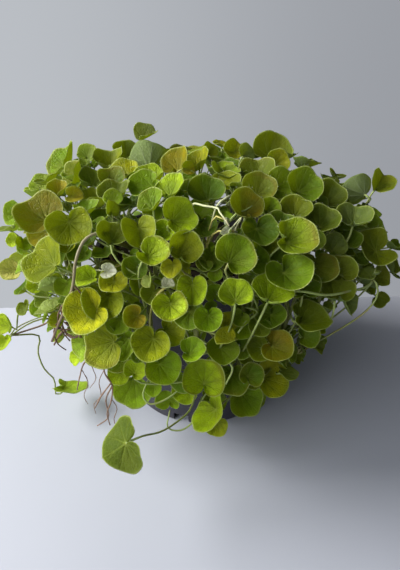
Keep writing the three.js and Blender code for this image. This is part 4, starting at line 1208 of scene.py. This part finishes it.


# The two sides of a blade: palmate veins that fork near the rim, a pale rim, mottling, painted
# shade towards the hub of the cup above, and a light that passes through
def leafMaterial():
    s = newShader("kidneyweed_leaf")
    place = s.layer("place")
    tint = s.layer("tint")
    chance = tint.out("Alpha")
    side = place.out("Alpha")
    parts = s.node("SeparateColor", {}, {"Color": place})
    u = 2 * parts.out("Red") - 1
    v = 2 * parts.out("Green") - 1
    share = parts.out("Blue")
    where = s.where()
    wobble = s.noise(where, 260, 2)
    angle = u.maths("ARCTAN2", u, v) + 0.10 * (wobble - 0.5)
    period = math.radians(veins["apart"])
    fromVein = abs(angle / period - round(angle / period)) * period
    width = 0.052 - 0.034 * share
    main = 1 - s.step(fromVein * share, width * 0.25, width)
    fork = abs(fromVein - 0.34 * (share - 0.42)) * share
    branches = (1 - s.step(fork, 0.004, 0.022)) * s.step(share, 0.42, 0.5)
    cells = s.node("TexVoronoi", dict(feature="DISTANCE_TO_EDGE"), {"Vector": where, "Scale": 620})
    net = 1 - s.step(cells, 0.02, 0.16)
    vein = s.node("Clamp", {}, {"Value": (main + 0.55 * branches) * (1 - s.step(share, 0.93, 0.99))})
    above = s.step(side, 0.45, 0.75)
    rim = s.step(share, 0.945, 0.975)

    mottle = s.noise(where, 150, 5, 0.62)
    grain = s.noise(where, 900, 3, 0.6)
    blotch = s.noise(where, 38, 3, 0.5)
    darker = s.mix(0.48 * s.step(mottle, 0.36, 0.66), tint, (0.03, 0.07, 0.006))
    # Painted shade: the upper side is darkened towards its hub, deep in the cup
    paintedCupShade = s.mix(0.34 * (1 - s.step(share, 0.25, 0.85)), darker, (0.05, 0.09, 0.006))
    yellow = s.mix(0.42 * s.step(blotch, 0.46, 0.66) * chance, paintedCupShade, (0.36, 0.34, 0.03))
    aged = s.step(blotch * s.step(share, 0.5, 1) * chance, 0.36, 0.5)
    brown = s.mix(0.6 * aged, yellow, (0.20, 0.12, 0.02))
    speckled = s.mix(0.22 * s.step(grain, 0.5, 0.72), brown, (0.32, 0.40, 0.06))
    centre = s.mix(0.34 * (1 - s.step(share, 0.02, 0.14)), speckled, (0.42, 0.46, 0.10))
    veined = s.mix(0.16 * vein + 0.10 * net, centre, (0.42, 0.48, 0.09))
    edged = s.mix(0.28 * s.step(share, 0.8, 0.96), veined, (0.22, 0.30, 0.02))
    upper = s.mix(0.72 * rim, edged, (0.52, 0.58, 0.20))
    greyed = s.mix(0.50, tint, (0.24, 0.32, 0.13))
    lower = s.mix(0.42 * vein + 0.12 * net, greyed, (0.45, 0.52, 0.28))
    colour = s.mix(above, lower, upper)

    rough = 0.46 + 0.2 * (mottle - 0.5) + 0.14 * (1 - above)
    height = 0.9 * mottle + 0.25 * grain - (0.8 * vein + 0.5 * net) * (2 * above - 1)
    skin = s.node("BsdfPrincipled", {}, {
        "Base Color": colour, "Roughness": rough, "IOR": 1.42, "Specular IOR Level": 0.2,
        "Normal": s.bump(height, 0.0005, 0.8),
    })
    through = s.node("BsdfTranslucent", {}, {"Color": (0.70, 0.80, 0.05, 1)})
    return s.surface(s.node("MixShader", {}, {0: 0.32 + 0.08 * (1 - above), 1: skin, 2: through}))


def stemMaterial():
    s = newShader("kidneyweed_stem")
    tint = s.layer("tint")
    where = s.where()
    streaks = s.noise(where, 420, 4, 0.65)
    patches = s.noise(where, 70, 2)
    shaded = s.mix(0.35 * s.step(streaks, 0.42, 0.72), tint, (0.10, 0.08, 0.03))
    flushed = s.mix(0.32 * s.step(patches, 0.5, 0.68) * tint.out("Alpha"), shaded, (0.34, 0.15, 0.09))
    return s.skin({
        "Base Color": flushed, "Roughness": 0.46 + 0.2 * streaks, "Specular IOR Level": 0.4,
        "Normal": s.bump(streaks, 0.00012, 0.6),
    })


def hairMaterial():
    s = newShader("kidneyweed_hair")
    where = s.where()
    colour = s.mix(s.noise(where, 300, 1), (0.52, 0.58, 0.36), (0.72, 0.74, 0.60))
    return s.skin({"Base Color": colour, "Roughness": 0.7, "Alpha": 0.85})


# Charcoal moulded plastic: satin, finely grained, with scuffs and a little dust
def potMaterial():
    s = newShader("nursery_pot_plastic")
    where = s.where()
    grain = s.noise(where, 2600, 2)
    flow = s.noise(s.node("Mapping", {}, {"Vector": where, "Scale": (1, 1, 0.12)}), 60, 4, 0.6)
    scuffs = s.noise(s.node("Mapping", {}, {"Vector": where, "Scale": (1, 1, 9)}), 120, 5, 0.7)
    height = s.node("SeparateXYZ", {}, {"Vector": where}).out("Z")
    dust = s.step(s.noise(where, 180, 5, 0.7), 0.55, 0.8) * (0.25 + 0.5 * (1 - s.step(height, 0.0, 0.03)))
    base = s.mix(s.step(flow, 0.3, 0.7), (0.026, 0.024, 0.034), (0.038, 0.035, 0.048))
    worn = s.mix(0.35 * s.step(scuffs, 0.62, 0.75), base, (0.12, 0.115, 0.14))
    colour = s.mix(0.5 * dust, worn, (0.20, 0.16, 0.12))
    return s.skin({
        "Base Color": colour, "Roughness": 0.40 + 0.25 * dust + 0.12 * scuffs, "Specular IOR Level": 0.5,
        "Normal": s.bump(grain + 0.6 * scuffs, 0.00008, 0.5),
    })


def soilMaterial():
    s = newShader("potting_soil")
    where = s.where()
    crumbs = s.noise(where, 700, 6, 0.7)
    damp = s.noise(where, 60, 3)
    colour = s.mix(crumbs, (0.010, 0.007, 0.005), (0.075, 0.048, 0.03))
    fibres = s.mix(0.4 * s.step(damp, 0.5, 0.7), colour, (0.05, 0.038, 0.026))
    return s.skin({
        "Base Color": fibres, "Roughness": 0.78 + 0.2 * crumbs, "Normal": s.bump(crumbs, 0.0006, 0.9),
    })


def perliteMaterial():
    s = newShader("perlite")
    where = s.where()
    pits = s.noise(where, 1500, 4)
    colour = s.mix(pits, (0.42, 0.40, 0.36), (0.78, 0.77, 0.73))
    return s.skin({"Base Color": colour, "Roughness": 0.9, "Normal": s.bump(pits, 0.0003, 0.8)})


def floorMaterial():
    s = newShader("pale_floor")
    where = s.where()
    soft = s.noise(where, 9, 3)
    colour = s.mix(soft, (0.465, 0.485, 0.55), (0.50, 0.52, 0.59))
    return s.skin({"Base Color": colour, "Roughness": 0.55})


leafSkin, stemSkin, hairSkin = leafMaterial(), stemMaterial(), hairMaterial()
print("materials wired")


def dress(piece, node):
    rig.ride(piece, "root")
    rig.replaces(piece, node)
    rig.slot(piece, node)


# The bare strands of the two old runners, with their tint, radius and knots
strands = dict(
    woody_runner=((woodyRunner["twigs"], "wiry", 0.5, 0.5), (woodyRunner["wires"], "wiry", 0.34, 0.5)),
    root_runner=((rootRunner["roots"], "root", 0.36, 0.4), (rootRunner["threads"], "root", 0.2, 0.5)),
)


def leafySpray(spray, seed):
    draw = seeded(seed)
    skin = Skin()
    first = "cream" if spray["tint"] == "wiry" else None
    addRunner(skin, spray["line"], spray["radius"], spray["tint"], draw, first=first)
    for leaf in spray["leaves"]:
        addPetiole(skin, leaf, draw)
        addBlade(skin, leaf, draw)
    for tint, radius, points in spray["twigs"]:
        addRunner(skin, points, radius, tint, draw, 0)
    for routes, tint, radius, knots in strands.get(spray["name"], ()):
        for rows in routes:
            addRunner(skin, seenPoints(rows), radius, tint, draw, knots)
    return skin.piece("leafy_" + spray["name"], (leafSkin, stemSkin, hairSkin))


triangles = 0
for k, spray in enumerate(sprays.values()):
    piece = leafySpray(spray, 100 + k)
    dress(piece, spray["name"])
    triangles += sum(len(p.vertices) - 2 for p in piece.data.polygons)
print("sprays dressed:", len(sprays), "with", triangles, "triangles")


# A mesh object from corners in millimetres
def solid(name, corners, faces):
    mesh = bpy.data.meshes.new(name)
    mesh.from_pydata(np.asarray(corners, float) * metre, [], faces)
    return linked(name, mesh)


# A profile of radius and height turned round the axis
def turned(name, profile, sides):
    corners, faces, rings = [], [], []
    for radius, z in profile:
        count = sides if radius else 1
        rings.append([len(corners) + k % count for k in range(sides)])
        corners += [polar(radius, 360 * k / sides, z) for k in range(count)]
    for low, high in zip(rings, rings[1:]):
        for k in range(sides):
            after = (k + 1) % sides
            faces.append(tuple(dict.fromkeys((low[k], low[after], high[after], high[k]))))
    return solid(name, corners, faces)


def block(name, along, across, tall):
    corners = [(x, y, z) for x in (-along, along) for y in (-across / 2, across / 2) for z in (-tall, tall)]
    faces = [(0, 1, 3, 2), (4, 6, 7, 5), (0, 4, 5, 1), (2, 3, 7, 6), (0, 2, 6, 4), (1, 5, 7, 3)]
    return solid(name, corners, faces)


def applyModifiers(piece):
    evaluated = piece.evaluated_get(bpy.context.evaluated_depsgraph_get())
    mesh = bpy.data.meshes.new_from_object(evaluated)
    piece.modifiers.clear()
    piece.data = mesh


# How far the pot's wall leans out for each millimetre of height
potRise = (pot["topRadius"] - pot["baseRadius"]) / pot["height"]


def makePot():
    top, collar, out = pot["height"], pot["height"] - pot["collarHeight"], pot["collarStep"]

    def outer(z, more=0):
        return (pot["baseRadius"] + potRise * z + more, z)

    def inner(z, more=0):
        return outer(z, more - pot["wall"])

    base = pot["baseRadius"]
    profile = [(0, 0), (base - 3, 0), (base - 0.9, 0), (base - 0.25, 0.25), outer(0.9), outer(6)]
    profile += [outer(30), outer(60), outer(collar - 2.6), outer(collar - 1.6, 0.1)]
    profile += [outer(collar - 0.9, 0.45), outer(collar - 0.5, out - 0.2), outer(collar, out)]
    profile += [outer(collar + 3, out), outer(top - 3, out), outer(top - 1.6, out + 0.15)]
    profile += [outer(top - 0.6, out + 0.1), outer(top - 0.1, out - 0.3), outer(top, out - 0.7)]
    profile += [inner(top, 0.7)]
    profile += [inner(top - 0.15, 0.25), inner(top - 0.7), inner(60), inner(pot["floor"] + 1.2)]
    profile += [inner(pot["floor"] + 0.3, -0.4), inner(pot["floor"], -1.2), (0, pot["floor"])]
    piece = turned("nursery_pot", profile, pot["sides"])
    for k in range(pot["slots"]):
        cutter = block("slot", *pot["slotSize"])
        turn = pot["slotTurn"] + 360 * k / pot["slots"]
        cutter.rotation_euler = (0, 0, math.radians(turn))
        cutter.location = polar(base * metre, turn, 0)
        bpy.context.view_layer.update()
        cut = piece.modifiers.new("slot", "BOOLEAN")
        cut.operation, cut.solver, cut.object = "DIFFERENCE", "EXACT", cutter
        applyModifiers(piece)
        bpy.data.objects.remove(cutter)
    piece.data.materials.clear()
    piece.data.materials.append(potMaterial())
    piece.data.polygons.foreach_set("use_smooth", [True] * len(piece.data.polygons))
    piece.data.set_sharp_from_angle(angle=math.radians(40))
    return piece


nurseryPot = makePot()
dress(nurseryPot, "pot")
print("pot moulded:", len(nurseryPot.data.polygons), "faces")


soil = dict(top=87.5, bump=1.6, gap=0.4, crumbs=520, pale=0.12, seed=4)


def soilBumps(x, y):
    broad = np.sin(0.11 * x + 1.3) * np.cos(0.13 * y - 0.4)
    return soil["bump"] * (broad + 0.5 * np.sin(0.31 * x - 0.27 * y))


def makeSoil():
    draw = seeded(soil["seed"])
    top, bottom, edge = soil["top"], pot["floor"] + soil["gap"], soil["top"] - 2 * soil["bump"]

    def reach(z):
        return pot["baseRadius"] + potRise * z - pot["wall"] - soil["gap"]

    rings = [(0, bottom), (reach(bottom) - 1.5, bottom), (reach(edge), edge)]
    rings += [(reach(top) * share, top) for share in np.linspace(0.97, 0.03, 26)] + [(0, top)]
    piece = turned("potting_soil", rings, 72)
    for corner in piece.data.vertices:
        x, y, z = corner.co / metre
        if z > top - 0.1:
            fine = 0.35 * math.sin(1.7 * x + 0.9 * y) * math.cos(1.3 * y - 0.6 * x) + 0.5 * (draw() - 0.5)
            corner.co.z = (z + soilBumps(x, y) + fine) * metre
    work = bmesh.new()
    work.from_mesh(piece.data)
    for k in range(soil["crumbs"]):
        x, y, z = polar(reach(top) * math.sqrt(draw()) * 0.95, 360 * draw(), top)
        size = 0.9 + 2.6 * draw() ** 3
        middle = Vector((x, y, z + soilBumps(x, y) + 0.15 * size)) * metre
        made = bmesh.ops.create_icosphere(work, subdivisions=1, radius=size / 2 * metre)
        for corner in made["verts"]:
            corner.co = corner.co * (0.7 + 0.6 * draw()) + middle
        kind = 1 if draw() < soil["pale"] else 0
        for face in {face for corner in made["verts"] for face in corner.link_faces}:
            face.material_index = kind
    work.to_mesh(piece.data)
    work.free()
    piece.data.materials.append(soilMaterial())
    piece.data.materials.append(perliteMaterial())
    return piece


pottingSoil = makeSoil()
dress(pottingSoil, "soil")
print("soil filled:", len(pottingSoil.data.polygons), "faces")

# The floor ends behind the pot, where it meets the paler air at the height that the photo shows
stage = dict(halfWide=900, near=-900, far=(37.5, 138.3))


def makeFloor():
    wide, near = stage["halfWide"], stage["near"]
    leftFar, rightFar = stage["far"]
    corners = [(-wide, near, 0), (wide, near, 0), (wide, rightFar, 0), (-wide, leftFar, 0)]
    return solid("pale_floor", corners, [(0, 1, 2, 3)])


paleFloor = makeFloor()
paleFloor.data.materials.append(floorMaterial())
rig.stage(paleFloor)

lamps = (
    dict(name="window", at=(-1.1, 0.12, 0.82), size=(0.74, 0.74), watts=31, aim=0.08,
         colour=(1.0, 0.99, 0.97)),
    dict(name="front fill", at=(-0.9, -0.85, 0.7), size=(1.1, 1.1), watts=13, aim=0.08,
         colour=(0.95, 0.97, 1.0)),
)
for lamp in lamps:
    light = bpy.data.lights.new(lamp["name"], "AREA")
    light.shape = "RECTANGLE"
    light.size, light.size_y = lamp["size"]
    light.energy, light.color = lamp["watts"], lamp["colour"]
    made = linked(lamp["name"], light)
    made.location = lamp["at"]
    made.rotation_euler = (Vector((0, 0, lamp["aim"])) - made.location).to_track_quat("-Z", "Y").to_euler()

# The air round the stage: brighter to the left in the picture, and dimmer as a light
world = bpy.data.worlds.new("studio")
bpy.context.scene.world = world
air = Shader(world)
heading = air.node("TexCoord").out("Generated")
leftward = air.node("SeparateXYZ", {}, {"Vector": heading}).out("X")
wallTone = air.mix(air.step(leftward, -0.5, 0.5), (0.50, 0.525, 0.56), (0.32, 0.335, 0.365))
shown = air.node("Background", {}, {"Color": wallTone, "Strength": 1})
ambient = air.node("Background", {}, {"Color": wallTone, "Strength": 0.24})
seen = air.node("LightPath").out("Is Camera Ray")
air.node("OutputWorld", {}, {"Surface": air.node("MixShader", {}, {0: seen, 1: ambient, 2: shown})})

lens = bpy.data.cameras.new("photo view")
lens.sensor_width = 36
lens.lens = 36 * view["focalPixels"] / view["longSide"]
lens.clip_start, lens.clip_end = 0.005, 20
camera = linked("photo view", lens)
camera.location = [value * metre for value in view["eye"]]
camera.rotation_euler = (math.radians(90 - view["lookDown"]), 0, 0)
bpy.context.scene.camera = camera
bpy.context.scene.view_settings.view_transform = "Standard"

print("floor, lamps, air and camera set")

shownLow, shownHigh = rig.bounds()
with open("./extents.json", "w") as out:
    json.dump({"cad": [list(cadLow), list(cadHigh)], "shown": [list(shownLow), list(shownHigh)]}, out)
